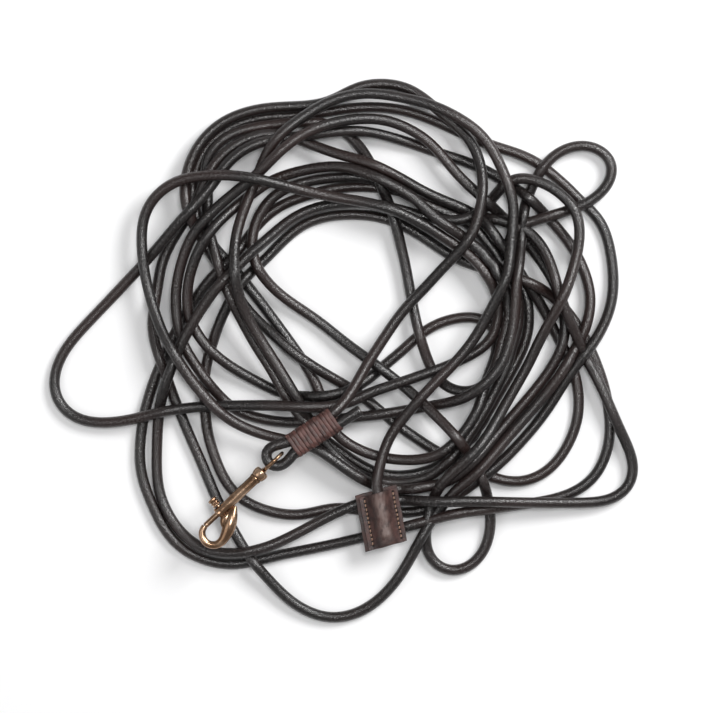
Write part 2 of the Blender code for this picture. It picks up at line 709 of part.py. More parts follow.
def make_stud(parts):
    """The ridged thumb stud, standing on the bolt and out through the slot."""
    profile = [(0, 10.9), (2.4, 10.8), (3.2, 10.3)]
    for ring in range(3):
        top = 9.9 - 1.8 * ring
        profile += [(3.4, top), (3.4, top - 0.8), (2.6, top - 1.1), (2.6, top - 1.5)]
    profile += [(3.3, 4.5), (1.15, 4.4), (1.15, BOLT_R + GAP), (0, BOLT_R + GAP)]
    c, s = math.cos(SNAP_ANGLE), math.sin(SNAP_ANGLE)
    x, y = snap_point(STUD_T, 0)
    place = frame_at((x, y, SNAP_Z), (0, 0, 1), (s, -c, 0))
    return turned("thumb_stud", profile, parts, place, "bronze", 20)


def make_spring(parts):
    """The bolt's compression spring, between the barrel's inner wall and the bolt."""
    turns, per_turn, wire = 8, 10, 0.35
    start, end = 2.1 + GAP + wire, 17.0 - GAP - wire
    angles = np.linspace(0, 2 * math.pi * turns, turns * per_turn + 1)
    heights = np.linspace(start, end, len(angles))
    points = [(1.7 * math.cos(a), 1.7 * math.sin(a), z) for a, z in zip(angles, heights)]
    return tube("bolt_spring", points, wire, parts, snap_frame(), "steel", 1)


def tab_frame(lift):
    return frame_at((*TAB_CENTRE, lift), (math.cos(TAB_ANGLE), math.sin(TAB_ANGLE), 0))


def make_tab(parts):
    """The end tab: a back layer, and a front layer moulded over the cord's end."""
    top_of_back = TAB_CORD_Z - CORD_D / 2 - GAP
    outline = rounded_box(TAB_WIDTH + 2.5, TAB_LENGTH + 2.0, 2.0)
    shift = Matrix.Translation((-1.2 * MM, 1.0 * MM, 0))
    place = tab_frame(top_of_back - LEATHER / 2) @ shift
    plate("tab_back", outline, LEATHER, parts, place, "tab")
    low = top_of_back + GAP - TAB_CORD_Z
    inner, outer = CORD_D / 2 + 2 * GAP, CORD_D / 2 + 2 * GAP + LEATHER
    half = TAB_WIDTH / 2
    shoulder = math.degrees(math.asin((low + LEATHER) / outer))
    section = [(half, low), (half, low + LEATHER)]
    section += arc((0, 0), outer, shoulder, 180 - shoulder, 12)
    section += [(-half, low + LEATHER), (-half, low), (-inner, low)]
    section += arc((0, 0), inner, 180, 0, 10)
    section += [(inner, low)]
    place = tab_frame(TAB_CORD_Z) @ Matrix.Rotation(math.radians(90), 4, "X")
    plate("tab_front", section, TAB_LENGTH, parts, place, "tab")
    for side, name in ((-1, "stitches_left"), (1, "stitches_right")):
        row = [
            (side * 10.9, y, low + LEATHER + GAP + 0.45 + 0.35 * abs(math.sin(math.pi * y / 4.0)))
            for y in np.arange(-16.0, 16.01, 1.0)
        ]
        tube(name, row, 0.45, parts, tab_frame(TAB_CORD_Z), "thread", 1)


def main():
    for obj in list(bpy.data.objects):
        bpy.data.objects.remove(obj)
    parts = bpy.data.collections.new("training_leash")
    cutters = bpy.data.collections.new("cutters")
    bpy.context.scene.collection.children.link(parts)
    bpy.context.scene.collection.children.link(cutters)
    make_cord(parts)
    make_whipping(parts)
    make_swivel_eye(parts, cutters)
    make_snap_body(parts, cutters)
    make_bolt(parts)
    make_stud(parts)
    make_spring(parts)
    make_tab(parts)
    bpy.context.view_layer.update()
    to_origin = Matrix.Translation((-CENTRE[0] * MM, -CENTRE[1] * MM, 0.0))
    for obj in (*parts.objects, *cutters.objects):
        obj.matrix_world = to_origin @ obj.matrix_world


main()
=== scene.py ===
"""The look of the training leash: a long leather cord in a loose coil, its bolt snap and its end tab.

Every length is in metres unless a name or a comment says millimetres. The coil is looked down on:
+X is to the right, +Y is away, and the cord lies on the floor at z = 0.
"""

from __future__ import annotations

import logging
import math
from collections.abc import Iterable, Sequence
from dataclasses import dataclass, field
from enum import Enum

import bpy
import numpy as np
from mathutils import Matrix, Vector
from numpy.typing import NDArray

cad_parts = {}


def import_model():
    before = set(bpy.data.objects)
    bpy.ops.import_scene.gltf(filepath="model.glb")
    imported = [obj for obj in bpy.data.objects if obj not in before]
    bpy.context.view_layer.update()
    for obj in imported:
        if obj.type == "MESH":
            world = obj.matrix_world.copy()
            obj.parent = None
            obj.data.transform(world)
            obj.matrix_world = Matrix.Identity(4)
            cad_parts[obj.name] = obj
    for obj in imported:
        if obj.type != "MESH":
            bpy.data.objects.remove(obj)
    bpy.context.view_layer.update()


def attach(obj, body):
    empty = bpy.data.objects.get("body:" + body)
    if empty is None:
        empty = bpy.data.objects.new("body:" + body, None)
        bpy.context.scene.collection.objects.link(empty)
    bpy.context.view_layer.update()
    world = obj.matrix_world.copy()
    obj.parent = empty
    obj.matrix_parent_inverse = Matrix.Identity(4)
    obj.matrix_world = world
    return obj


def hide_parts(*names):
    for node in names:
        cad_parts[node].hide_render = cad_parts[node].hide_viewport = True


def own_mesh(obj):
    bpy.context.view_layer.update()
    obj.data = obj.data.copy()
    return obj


Array = NDArray[np.float64]
Points = Sequence[tuple[float, ...]]

LOG = logging.getLogger("training_leash")
MM = 0.001
CENTRE = (-1.27, -0.12)  # mm, the middle of the coil's outline, which is moved to the origin
SNAP_Z = 36.0  # mm, height of the snap's axis, of the cord's eye and of its whipping
SNAP_ROOT = (-60.1, -86.5)  # mm, where the barrel's axis starts
SNAP_ANGLE = math.radians(223.3)  # heading of the snap's axis, from the eye to the hook
TAB_CENTRE = (26.5, -117.3)  # mm
TAB_ANGLE = math.radians(10.6)
TAB_CORD_Z = 22.5  # mm, height of the cord's end inside the tab

# The cord's tail and its eye, in mm, from the cut tail through the whipping and round the eye. The
# first and last pairs lie in the whipping; t and u are the snap's own axes.
TAIL = ((10.5, -41.2), (-5.4, -51.1), (-20.0, -60.4), (-33.5, -69.0))
EYE_TU = (
    (-27.6, -5.9), (-24.4, -6.3), (-20.0, -6.3), (-16.2, -5.4), (-13.2, -3.2), (-11.8, 0.0),
    (-12.0, 3.4), (-13.8, 6.5), (-17.2, 8.2), (-21.4, 7.7), (-26.6, 5.2),
)
RISING = ((-38.8, -62.8), (-24.4, -53.6), (-9.9, -44.3), (-2.0, -37.2))

# The cord from the whipping to the end tab, a span at a time, in mm. Each span's number is its
# layer: where two spans cross, the higher one passes over.
SPANS = (
    # leaves the whipping and climbs the middle of the coil
    (9, (
        (8, -22), (18, -5), (30, 13), (42, 30), (55, 43), (70, 60), (83, 73), (91, 88), (95, 105),
        (96, 120), (93, 135), (87, 148), (75, 160), (60, 173), (50, 181), (38, 186), (20, 187),
        (6, 184),
    )),
    # outer turn, top left
    (6, (
        (-8, 176), (-25, 172), (-45, 171), (-62, 169), (-78, 164), (-90, 157), (-100, 147),
        (-107, 135), (-111, 122), (-112, 110), (-110, 98), (-104, 85), (-97, 74),
    )),
    # crosses the middle
    (3, (
        (-90, 62), (-83, 50), (-75, 38), (-65, 25), (-52, 13), (-40, 2), (-28, -7), (-12, -17),
        (0, -24), (15, -34), (27, -44), (38, -53), (50, -61), (62, -69), (75, -76), (88, -82),
    )),
    # right side
    (3, (
        (100, -87), (112, -91), (126, -91), (143, -83), (155, -68), (162, -52), (164, -35),
        (161, -15), (155, -1), (147, 14), (135, 37), (122, 53), (110, 65), (103, 76),
    )),
    # top
    (6, (
        (95, 92), (85, 98), (70, 104), (55, 110), (40, 118), (20, 128), (0, 136), (-20, 143),
        (-35, 149), (-52, 152), (-66, 149), (-79, 142), (-90, 132), (-97, 121),
    )),
    # left side, foot loop
    (4, (
        (-103, 106), (-112, 92), (-122, 76), (-129, 60), (-132, 40), (-135, 22), (-133, 5),
        (-127, -12), (-121, -30), (-115, -45), (-108, -62), (-100, -80), (-93, -97), (-88, -108),
        (-78, -126), (-65, -147), (-55, -158), (-42, -172), (-25, -183), (-8, -187), (12, -182),
        (28, -170), (40, -155), (50, -137), (61, -118), (71, -105), (80, -94), (90, -83),
    )),
    # right side
    (5, (
        (100, -72), (110, -60), (125, -43), (140, -27), (150, -15), (158, -3), (165, 8), (170, 22),
        (172, 38), (168, 55), (160, 72), (150, 85), (138, 98), (125, 110), (112, 119),
    )),
    # top
    (5, (
        (98, 127), (82, 134), (68, 138), (55, 143), (42, 147), (28, 151), (10, 154), (-8, 153),
        (-25, 151), (-42, 148), (-58, 146), (-72, 139), (-83, 130), (-90, 119),
    )),
    # long left loop and back through the middle
    (8, (
        (-98, 109), (-108, 98), (-120, 85), (-135, 68), (-150, 52), (-168, 33), (-185, 15),
        (-198, -2), (-204, -20), (-202, -33), (-190, -46), (-170, -50), (-150, -48), (-130, -43),
        (-100, -39), (-60, -38), (-25, -38), (-5, -36), (10, -31), (30, -25), (50, -18), (70, -11),
        (85, -4), (98, 4), (107, 14),
    )),
    # right side
    (4, (
        (112, 28), (111, 40),
    )),
    # upper left loop
    (8, (
        (107, 50), (101, 58), (90, 68), (78, 76), (62, 84), (45, 93), (25, 101), (0, 106),
        (-30, 112), (-70, 121), (-95, 122), (-115, 119), (-130, 110), (-140, 95), (-142, 78),
        (-141, 62), (-138, 45), (-133, 28), (-126, 10), (-118, -3), (-108, -18), (-97, -31),
        (-88, -42), (-75, -51), (-58, -58), (-42, -62), (-22, -67), (-5, -76), (10, -87),
        (24, -95),
    )),
    # inner right side
    (4, (
        (40, -97), (55, -95), (70, -92), (80, -88), (91, -80), (103, -66), (114, -54), (128, -38),
        (141, -20), (150, -2), (154, 15), (152, 32), (145, 50), (135, 66), (124, 80), (113, 92),
    )),
    # top
    (7, (
        (103, 101), (93, 110), (80, 122), (70, 134), (58, 147), (45, 155), (30, 161), (10, 162),
        (-15, 157), (-35, 147), (-50, 134), (-60, 124), (-70, 115), (-82, 105), (-92, 97),
        (-101, 88),
    )),
    # left side, then the middle
    (5, (
        (-108, 78), (-113, 65), (-117, 50), (-118, 35), (-117, 18), (-112, 2), (-105, -10),
        (-97, -22), (-87, -33), (-77, -41), (-60, -47), (-40, -50), (-22, -49), (0, -47),
        (20, -45), (40, -42), (62, -38), (80, -34), (92, -27), (103, -17),
    )),
    # right side
    (4, (
        (111, -5), (116, 12), (119, 30), (119, 48), (119, 66), (121, 84), (125, 99), (130, 112),
    )),
    # small loop at the top right
    (7, (
        (139, 129), (150, 139), (165, 144), (178, 141), (187, 132), (186, 121), (178, 110),
        (168, 103), (155, 98), (145, 95), (135, 91), (125, 89),
    )),
    # right side
    (3, (
        (116, 82), (115, 70), (120, 56), (126, 42), (129, 25), (127, 8), (121, -8), (113, -22),
        (105, -36), (96, -50), (85, -64),
    )),
    # foot of the coil
    (5, (
        (72, -77), (60, -83), (45, -87), (30, -87), (15, -83), (0, -75), (-15, -62),
    )),
    # left side
    (5, (
        (-28, -49), (-38, -37), (-45, -25), (-52, -12), (-62, 3), (-70, 18), (-78, 33), (-84, 47),
        (-91, 70), (-95, 85), (-97, 100), (-95, 115),
    )),
    # top left
    (4, (
        (-99, 125), (-96, 135), (-88, 146), (-76, 153), (-60, 157), (-45, 159), (-30, 160),
        (-12, 159),
    )),
    # straight down the middle
    (5, (
        (3, 151), (11, 142), (18, 131), (24, 118), (29, 107), (34, 94), (38, 78), (42, 62),
        (45, 45), (48, 30), (52, 12), (57, -3), (62, -15), (70, -24), (80, -28), (92, -27),
        (101, -20),
    )),
    # right side
    (4, (
        (107, -8), (110, 8), (114, 24), (114, 40), (109, 54),
    )),
    # top
    (6, (
        (101, 64), (90, 71), (78, 80), (65, 91), (55, 100), (45, 110), (30, 119), (15, 126),
        (-8, 129), (-30, 126), (-50, 120), (-62, 113), (-73, 105), (-84, 95), (-92, 85),
        (-100, 74),
    )),
    # left side, then the middle
    (5, (
        (-106, 60), (-110, 45), (-110, 30), (-106, 17), (-98, 5), (-88, -5), (-75, -14),
        (-60, -22), (-48, -28), (-35, -32), (-20, -33), (0, -31), (12, -23), (25, -12), (40, 0),
        (52, 11), (65, 19), (80, 23), (94, 23), (104, 17),
    )),
    # right side
    (4, (
        (107, 5), (103, -10), (97, -25), (94, -40), (90, -54),
    )),
    # foot of the coil
    (6, (
        (80, -66), (65, -73), (48, -76), (30, -75), (15, -71), (0, -63), (-12, -50),
    )),
    # crosses the middle
    (3, (
        (-16, -34), (-22, -20), (-32, -3), (-40, 8), (-50, 22), (-60, 35), (-70, 48), (-80, 60),
        (-91, 72), (-100, 86), (-106, 102), (-107, 116),
    )),
    # outer turn, top
    (5, (
        (-104, 128), (-99, 140), (-90, 150), (-78, 158), (-62, 163), (-45, 165), (-25, 166),
        (0, 170), (25, 171), (45, 168), (62, 162), (80, 154),
    )),
    # outermost right side
    (5, (
        (98, 146), (120, 139), (135, 132), (150, 120), (165, 105), (178, 93), (185, 75), (188, 55),
        (187, 35), (181, 18), (170, 0), (158, -15), (147, -33), (135, -50), (122, -65), (108, -79),
    )),
    # under the tab
    (3, (
        (94, -90), (80, -100), (66, -108), (54, -113), (40, -113), (26, -113),
    )),
    # left side
    (4, (
        (12, -112), (0, -110), (-14, -111), (-30, -115), (-50, -113), (-65, -108), (-77, -100),
        (-86, -87), (-92, -72), (-97, -55), (-98, -40), (-99, -25), (-97, -8), (-93, 5), (-88, 20),
        (-82, 32), (-75, 45), (-65, 56),
    )),
    # inner top
    (4, (
        (-54, 66), (-42, 80), (-30, 91), (-10, 97), (10, 97), (28, 93), (45, 86), (62, 75),
        (78, 65), (94, 59), (112, 54), (130, 47),
    )),
    # far right
    (4, (
        (146, 38), (158, 25), (168, 10), (176, -8), (182, -25), (185, -42), (186, -58), (182, -75),
        (175, -88), (162, -98), (145, -104), (120, -108), (90, -112), (70, -115), (55, -119),
        (42, -123),
    )),
    # outer foot and left side
    (3, (
        (15, -130), (-15, -137), (-40, -142), (-60, -146), (-78, -149), (-95, -147), (-112, -140),
        (-126, -125), (-135, -108), (-142, -90), (-144, -70), (-141, -45), (-137, -30),
        (-132, -15), (-125, 0), (-118, 15), (-105, 35), (-92, 51),
    )),
    # inner top
    (5, (
        (-80, 62), (-68, 80), (-57, 93), (-45, 102), (-30, 108), (-12, 113), (0, 115), (20, 115),
        (40, 112), (60, 105), (80, 98), (100, 93), (120, 88), (134, 78),
    )),
    # far right
    (5, (
        (143, 62), (148, 45), (153, 30), (160, 15), (168, -3), (178, -22), (188, -45), (197, -65),
        (202, -80), (199, -94), (188, -103), (170, -106), (130, -106), (90, -105), (60, -105),
        (40, -104),
    )),
    # foot and left side
    (5, (
        (25, -104), (12, -106), (-1, -111), (-12, -116), (-25, -123), (-45, -133), (-60, -139),
        (-78, -142), (-95, -140), (-112, -130), (-125, -113), (-131, -95), (-132, -75),
        (-130, -40), (-126, -25), (-120, -8), (-113, 8), (-100, 30), (-88, 48),
    )),
    # inner top
    (6, (
        (-78, 58), (-64, 70), (-46, 84), (-28, 95), (-10, 100), (10, 102), (28, 101), (48, 96),
        (66, 92), (84, 92), (98, 100), (108, 113),
    )),
    # right side
    (7, (
        (120, 121), (135, 118), (148, 112), (158, 103), (163, 90), (163, 75), (159, 58), (152, 38),
        (143, 21), (134, 4), (127, -10), (118, -26), (108, -42), (98, -56), (89, -67),
    )),
    # small loop at the foot
    (4, (
        (79, -77), (70, -88), (63, -100), (59, -114), (57, -128), (58, -141), (66, -151),
        (78, -154), (92, -147), (100, -133), (102, -118), (100, -104), (96, -90), (88, -75),
    )),
    # crosses the middle
    (6, (
        (80, -63), (72, -54), (60, -42), (45, -28), (30, -16), (18, -7), (8, 0), (-5, 10),
        (-20, 22), (-35, 32), (-48, 42), (-57, 52), (-63, 62), (-65, 75), (-63, 88), (-57, 100),
        (-48, 110),
    )),
    # inner top
    (5, (
        (-36, 116), (-20, 120), (0, 122), (20, 120), (38, 113), (56, 104), (74, 96), (90, 88),
        (101, 78), (108, 64),
    )),
    # right side
    (3, (
        (113, 48), (116, 34), (118, 18), (116, 2), (111, -14), (104, -30), (96, -45), (86, -60),
        (76, -74),
    )),
    # foot of the coil
    (4, (
        (66, -84), (52, -90), (38, -92), (22, -91), (6, -84), (-8, -72), (-19, -58), (-27, -45),
    )),
    # left side
    (7, (
        (-34, -32), (-45, -14), (-57, 5), (-70, 28), (-76, 50), (-77, 70), (-74, 88), (-68, 105),
        (-62, 120), (-57, 132), (-50, 145), (-40, 155), (-28, 164), (-15, 172),
    )),
    # over the top and down to the tab
    (10, (
        (0, 178), (20, 180), (40, 177), (60, 172), (80, 162), (96, 150), (107, 132), (115, 112),
        (119, 92), (119, 75), (115, 55), (106, 38), (97, 20), (86, 3), (72, -13), (57, -28),
        (40, -48), (30, -62), (25, -80),
    )),
)

INTO_TAB = ((22.1, -93.7), (23.0, -98.6), (24.8, -108.5), (26.7, -118.3), (28.3, -127.1))


def snap_point(t: float, u: float) -> tuple[float, float]:
    """A plan point in mm, at t along the snap's axis and u to the side of the thumb stud.

    Args:
        t: Distance along the axis, from the barrel's root towards the hook.
        u: Distance to the thumb stud's side.

    Returns:
        The point's x and y, before the coil is moved to the origin.
    """
    c, s = math.cos(SNAP_ANGLE), math.sin(SNAP_ANGLE)
    return SNAP_ROOT[0] + t * c + u * s, SNAP_ROOT[1] + t * s - u * c


def natural_spline(points: Array, fine: int = 24) -> Array:
    """Points along the natural cubic spline through the given ones.

    The parameter is the sum of the square roots of the plan distances, so a bend among close points
    doesn't overshoot. The second derivatives solve the usual tridiagonal system.

    Args:
        points: The points to pass through, one in each row.
        fine: How many points are given for each one passed through.

    Returns:
        The fine points, one in each row.
    """
    count = len(points)
    legs = np.linalg.norm(np.diff(points[:, :2], axis=0), axis=1)
    t = np.concatenate([[0.0], np.cumsum(np.sqrt(legs))])
    h = np.diff(t)
    inner = np.arange(1, count - 1)
    system = np.eye(count)
    system[inner, inner - 1] = h[:-1]
    system[inner, inner] = 2 * (h[:-1] + h[1:])
    system[inner, inner + 1] = h[1:]
    slope = np.diff(points, axis=0) / h[:, None]
    right = np.zeros_like(points)
    right[1:-1] = 6 * (slope[1:] - slope[:-1])
    bend = np.linalg.solve(system, right)
    u = np.linspace(0, t[-1], count * fine)
    k = np.clip(np.searchsorted(t, u, side="right") - 1, 0, count - 2)
    a, b, span = (t[k + 1] - u)[:, None], (u - t[k])[:, None], h[k][:, None]
    curve = (bend[k] * a**3 + bend[k + 1] * b**3) / (6 * span)
    curve += (points[k] / span - bend[k] * span / 6) * a
    curve += (points[k + 1] / span - bend[k + 1] * span / 6) * b
    return curve


def evenly(curve: Array, step: float, axes: int = 2) -> Array:
    """Points at even distances along a polyline.

    Args:
        curve: The polyline's points, one in each row.
        step: The distance between the points that come back.
        axes: How many of the first columns the distance is measured in.

    Returns:
        The even points, with every column of the polyline.
    """
    legs = np.linalg.norm(np.diff(curve[:, :axes], axis=0), axis=1)
    along = np.concatenate([[0.0], np.cumsum(legs)])
    even = np.linspace(0, along[-1], int(round(along[-1] / step)) + 1)
    return np.stack([np.interp(even, along, column) for column in curve.T], axis=1)


# ---------------------------------------------------------------- the cord's route
@dataclass(frozen=True)
class CordRoute:
    """Where the cord lies, in mm: planned in plan a span at a time, then let down onto itself."""

    diameter: float = 7.5
    clearance: float = 0.6
    step: float = 6.0
    layer_rise: float = 5.0
    stack_top: float = 40.0
    spread_rounds: int = 150
    stack_rounds: int = 16
    settle_rounds: int = 600
    thong: float = 2.6
    leather: float = 2.2
    gap: float = 0.3
    tab_size: tuple[float, float] = (27.5, 38.0)

    def planned(self) -> tuple[Array, NDArray[np.bool_], int]:
        """The whole cord before it settles.

        Returns:
            The points, which of them are held where they are, and the last point of the rise out
            of the whipping.
        """
        held = [(x, y, SNAP_Z) for x, y in TAIL]
        held += [(*snap_point(t, u), SNAP_Z) for t, u in EYE_TU]
        held += [(x, y, SNAP_Z) for x, y in RISING]
        base = self.diameter / 2
        free = [(x, y, base + self.layer_rise * layer) for layer, span in SPANS for x, y in span]
        into_tab = [(x, y, TAB_CORD_Z) for x, y in INTO_TAB]
        route = evenly(natural_spline(np.array(held + free + into_tab, float)), self.step)
        flat = route[:, :2]
        rise = int(np.argmin(np.linalg.norm(flat - RISING[-2], axis=1)))
        tab = len(route) - 12
        tab += int(np.argmin(np.linalg.norm(flat[tab:] - INTO_TAB[0], axis=1)))
        fixed = np.zeros(len(route), bool)
        fixed[: rise + 1] = True
        fixed[tab:] = True
        route[: rise + 1, 2] = SNAP_Z
        route[tab:, 2] = TAB_CORD_Z
        return route, fixed, rise

    def close_pairs(self, route: Array) -> tuple[NDArray[np.int64], NDArray[np.int64]]:
        """Pairs of points of different turns that are near each other in plan.

        Args:
            route: The cord's points.

        Returns:
            The first and the second point of each pair.
        """
        skip = int(4.2 * self.diameter / self.step)
        firsts, seconds = [], []
        for index in range(len(route) - skip):
            reach = np.abs(route[index + skip :, :2] - route[index, :2]).max(axis=1)
            near = np.nonzero(reach < 1.5 * self.diameter)[0] + index + skip
            firsts.append(np.full(len(near), index))
            seconds.append(near)
        return np.concatenate(firsts), np.concatenate(seconds)

    @staticmethod
    def cross(route: Array, i: int, j: int) -> bool:
        """Whether the plan leg at point i cuts the one at point j.

        Args:
            route: The cord's points.
            i: The point where the first leg starts.
            j: The point where the second leg starts.

        Returns:
            True where the two legs cut each other.
        """
        if j + 1 >= len(route):
            return False
        (px, py), (qx, qy) = route[i, :2], route[j, :2]
        (rx, ry), (sx, sy) = route[i + 1, :2] - (px, py), route[j + 1, :2] - (qx, qy)
        area = rx * sy - ry * sx
        if abs(area) < 1e-9:
            return False
        t = ((qx - px) * sy - (qy - py) * sx) / area
        u = ((qx - px) * ry - (qy - py) * rx) / area
        return 0 <= t < 1 and 0 <= u < 1

    def meetings(
        self, route: Array, pairs: tuple[NDArray[np.int64], NDArray[np.int64]]
    ) -> tuple[NDArray[np.int64], NDArray[np.bool_]]:
        """Groups the close pairs into meetings of two turns.

        Args:
            route: The cord's points.
            pairs: The close pairs.

        Returns:
            Each pair's meeting, and which meetings are crossings.
        """
        index = {pair: at for at, pair in enumerate(zip(*(side.tolist() for side in pairs)))}
        group = np.full(len(index), -1)
        crossing: list[bool] = []
        for start, number in index.items():
            if group[number] >= 0:
                continue
            group[number] = len(crossing)
            crossing.append(False)
            ahead = [start]
            while ahead:
                i, j = ahead.pop()
                crossing[-1] = crossing[-1] or self.cross(route, i, j)
                for near in ((i + a, j + b) for a in (-1, 0, 1) for b in (-1, 0, 1)):
                    other = index.get(near)
                    if other is not None and group[other] < 0:
                        group[other] = len(crossing) - 1
                        ahead.append(near)
        return group, np.array(crossing)

    def spread(
        self,
        home: Array,
        fixed: NDArray[np.bool_],
        pairs: tuple[NDArray[np.int64], NDArray[np.int64]],
        beside: NDArray[np.bool_],
    ) -> Array:
        """Moves turns that run side by side apart in plan, until they touch and no longer overlap.

        Args:
            home: The planned points.
            fixed: Which points stay where they are.
            pairs: The close pairs.
            beside: Which pairs run side by side.

        Returns:
            The points' x and y.
        """
        first, second = pairs[0][beside], pairs[1][beside]
        flat, free = home[:, :2].copy(), (~fixed).astype(float)
        for _ in range(self.spread_rounds):
            apart = flat[second] - flat[first]
            distance = np.linalg.norm(apart, axis=1) + 1e-9
            short = np.maximum(self.diameter + self.clearance - distance, 0)[:, None]
            push = 0.25 * short * apart / distance[:, None]
            move = np.zeros_like(flat)
            np.add.at(move, first, -push)
            np.add.at(move, second, push)
            move = np.clip(move, -1.0, 1.0)
            curl = np.zeros_like(flat)
            curl[1:-1] = 0.5 * (flat[:-2] + flat[2:]) - flat[1:-1]
            stiff = np.zeros_like(flat)
            stiff[2:-2] = 0.5 * (curl[1:-3] + curl[3:-1]) - curl[2:-2]
            flat += (move - 0.3 * stiff + 0.04 * (home[:, :2] - flat)) * free[:, None]
        return flat

    def under_tab(self, route: Array) -> NDArray[np.bool_]:
        """Which points run below the end tab, where a turn has to lie low.

        Args:
            route: The cord's points.

        Returns:
            True at each point below the tab.
        """
        c, s = math.cos(TAB_ANGLE), math.sin(TAB_ANGLE)
        off = route[:, :2] - TAB_CENTRE
        x, y = off @ (c, s), off @ (-s, c)
        width, length = self.tab_size
        inside = abs(x) < width / 2 + self.diameter
        return inside & (abs(y) < length / 2 + self.diameter)

    def settled(self) -> Array:
        """The cord's centreline in mm, each turn let down onto what it crosses.

        Turns side by side are moved apart. Then every upper point is raised clear of the ones below
        it, and in each round it falls a little, is lifted off the turn below and presses that turn
        down, and the heights are smoothed along the cord.

        Returns:
            The points, 6 mm apart in plan.
        """
        home, fixed, rise = self.planned()
        pairs = self.close_pairs(home)
        group, crossing = self.meetings(home, pairs)
        home[:, :2] = self.spread(home, fixed, pairs, ~crossing[group])
        first, second = pairs
        flat = np.hypot(*(home[second, :2] - home[first, :2]).T)
        wanted = np.full(len(first), self.diameter + self.clearance)
        wanted[(first < rise) | (second < rise)] += self.thong
        wanted[fixed[second] & (second > rise)] += self.leather + self.gap
        need = np.sqrt(np.maximum(wanted**2 - np.maximum(flat - self.step / 4, 0) ** 2, 0))
        need[~crossing[group] & (flat > 0.8 * self.diameter)] = 0
        near = need > 0
        first, second, need, group = first[near], second[near], need[near], group[near]
        rank = np.where(fixed, 2 * self.stack_top, home[:, 2])
        rises = rank[second] - rank[first]
        floor = self.diameter / 2
        height = np.where(fixed, home[:, 2], floor)
        low, high = np.where(rises > 0, first, second), np.where(rises > 0, second, first)
        stacked = height.copy()
        for _ in range(self.stack_rounds):
            np.maximum.at(stacked, high, stacked[low] + need)
        height = np.where(fixed, height, np.minimum(stacked, self.stack_top))
        ceiling = TAB_CORD_Z - self.diameter - self.leather - 2.5 * self.gap
        top = np.where(self.under_tab(home), ceiling, self.stack_top)
        over = np.bincount(group, rises)[group] > 0
        low, high = np.where(over, first, second), np.where(over, second, first)
        for turn in range(self.settle_rounds):
            height = np.maximum(height - 0.3 * (1 - turn / self.settle_rounds), floor)
            short = np.maximum(need - (height[high] - height[low]), 0)
            lift, press = np.zeros(len(height)), np.zeros(len(height))
            np.maximum.at(lift, high, short)
            np.maximum.at(press, low, short)
            height += 0.5 * lift - 0.5 * np.minimum(press, height - floor)
            height[1:-1] = 0.25 * height[:-2] + 0.5 * height[1:-1] + 0.25 * height[2:]
            height = np.where(fixed, home[:, 2], np.clip(height, floor, top))
        return np.column_stack([home[:, :2], height])


def in_place(points_mm: Array) -> Array:
    """Points in metres about the coil's middle, from points in mm as they were planned."""
    return (points_mm - (*CENTRE, 0.0)) * MM


# ---------------------------------------------------------------- surfaces
def unit(vectors: Array) -> Array:
    """The vectors along the last axis, each divided by its own length."""
    return vectors / np.linalg.norm(vectors, axis=-1, keepdims=True)


def mesh_object(
    name: str, points: Array, faces: Iterable[Array], uv: Array | None = None
) -> bpy.types.Object:
    """Makes an object of points and faces that point outwards, with its place in its mesh.

    Args:
        name: The object's name.
        points: The vertices, one in each row.
        faces: Arrays of vertex numbers, one face in each row, each array with its own corner count.
        uv: Each corner's coordinates in the order of the faces, or None for no UV map.

    Returns:
        The smooth-shaded object, linked to the scene.
    """
    faces = [array for array in faces if len(array)]
    corners = np.concatenate([array.ravel() for array in faces]).astype(np.int32)
    sizes = np.concatenate([np.full(len(array), array.shape[1]) for array in faces])
    starts = np.concatenate([[0], np.cumsum(sizes)[:-1]]).astype(np.int32)
    mesh = bpy.data.meshes.new(name)
    mesh.vertices.add(len(points))
    mesh.vertices.foreach_set("co", np.ascontiguousarray(points, np.float32).ravel())
    mesh.loops.add(len(corners))
    mesh.loops.foreach_set("vertex_index", corners)
    mesh.polygons.add(len(sizes))
    mesh.polygons.foreach_set("loop_start", starts)
    if uv is not None:
        layer = mesh.uv_layers.new(name="UVMap")
        layer.data.foreach_set("uv", np.ascontiguousarray(uv, np.float32).ravel())
    mesh.update(calc_edges=True)
    mesh.validate()
    mesh.polygons.foreach_set("use_smooth", np.ones(len(mesh.polygons), bool))
    made = bpy.data.objects.new(name, mesh)
    bpy.context.scene.collection.objects.link(made)
    return made


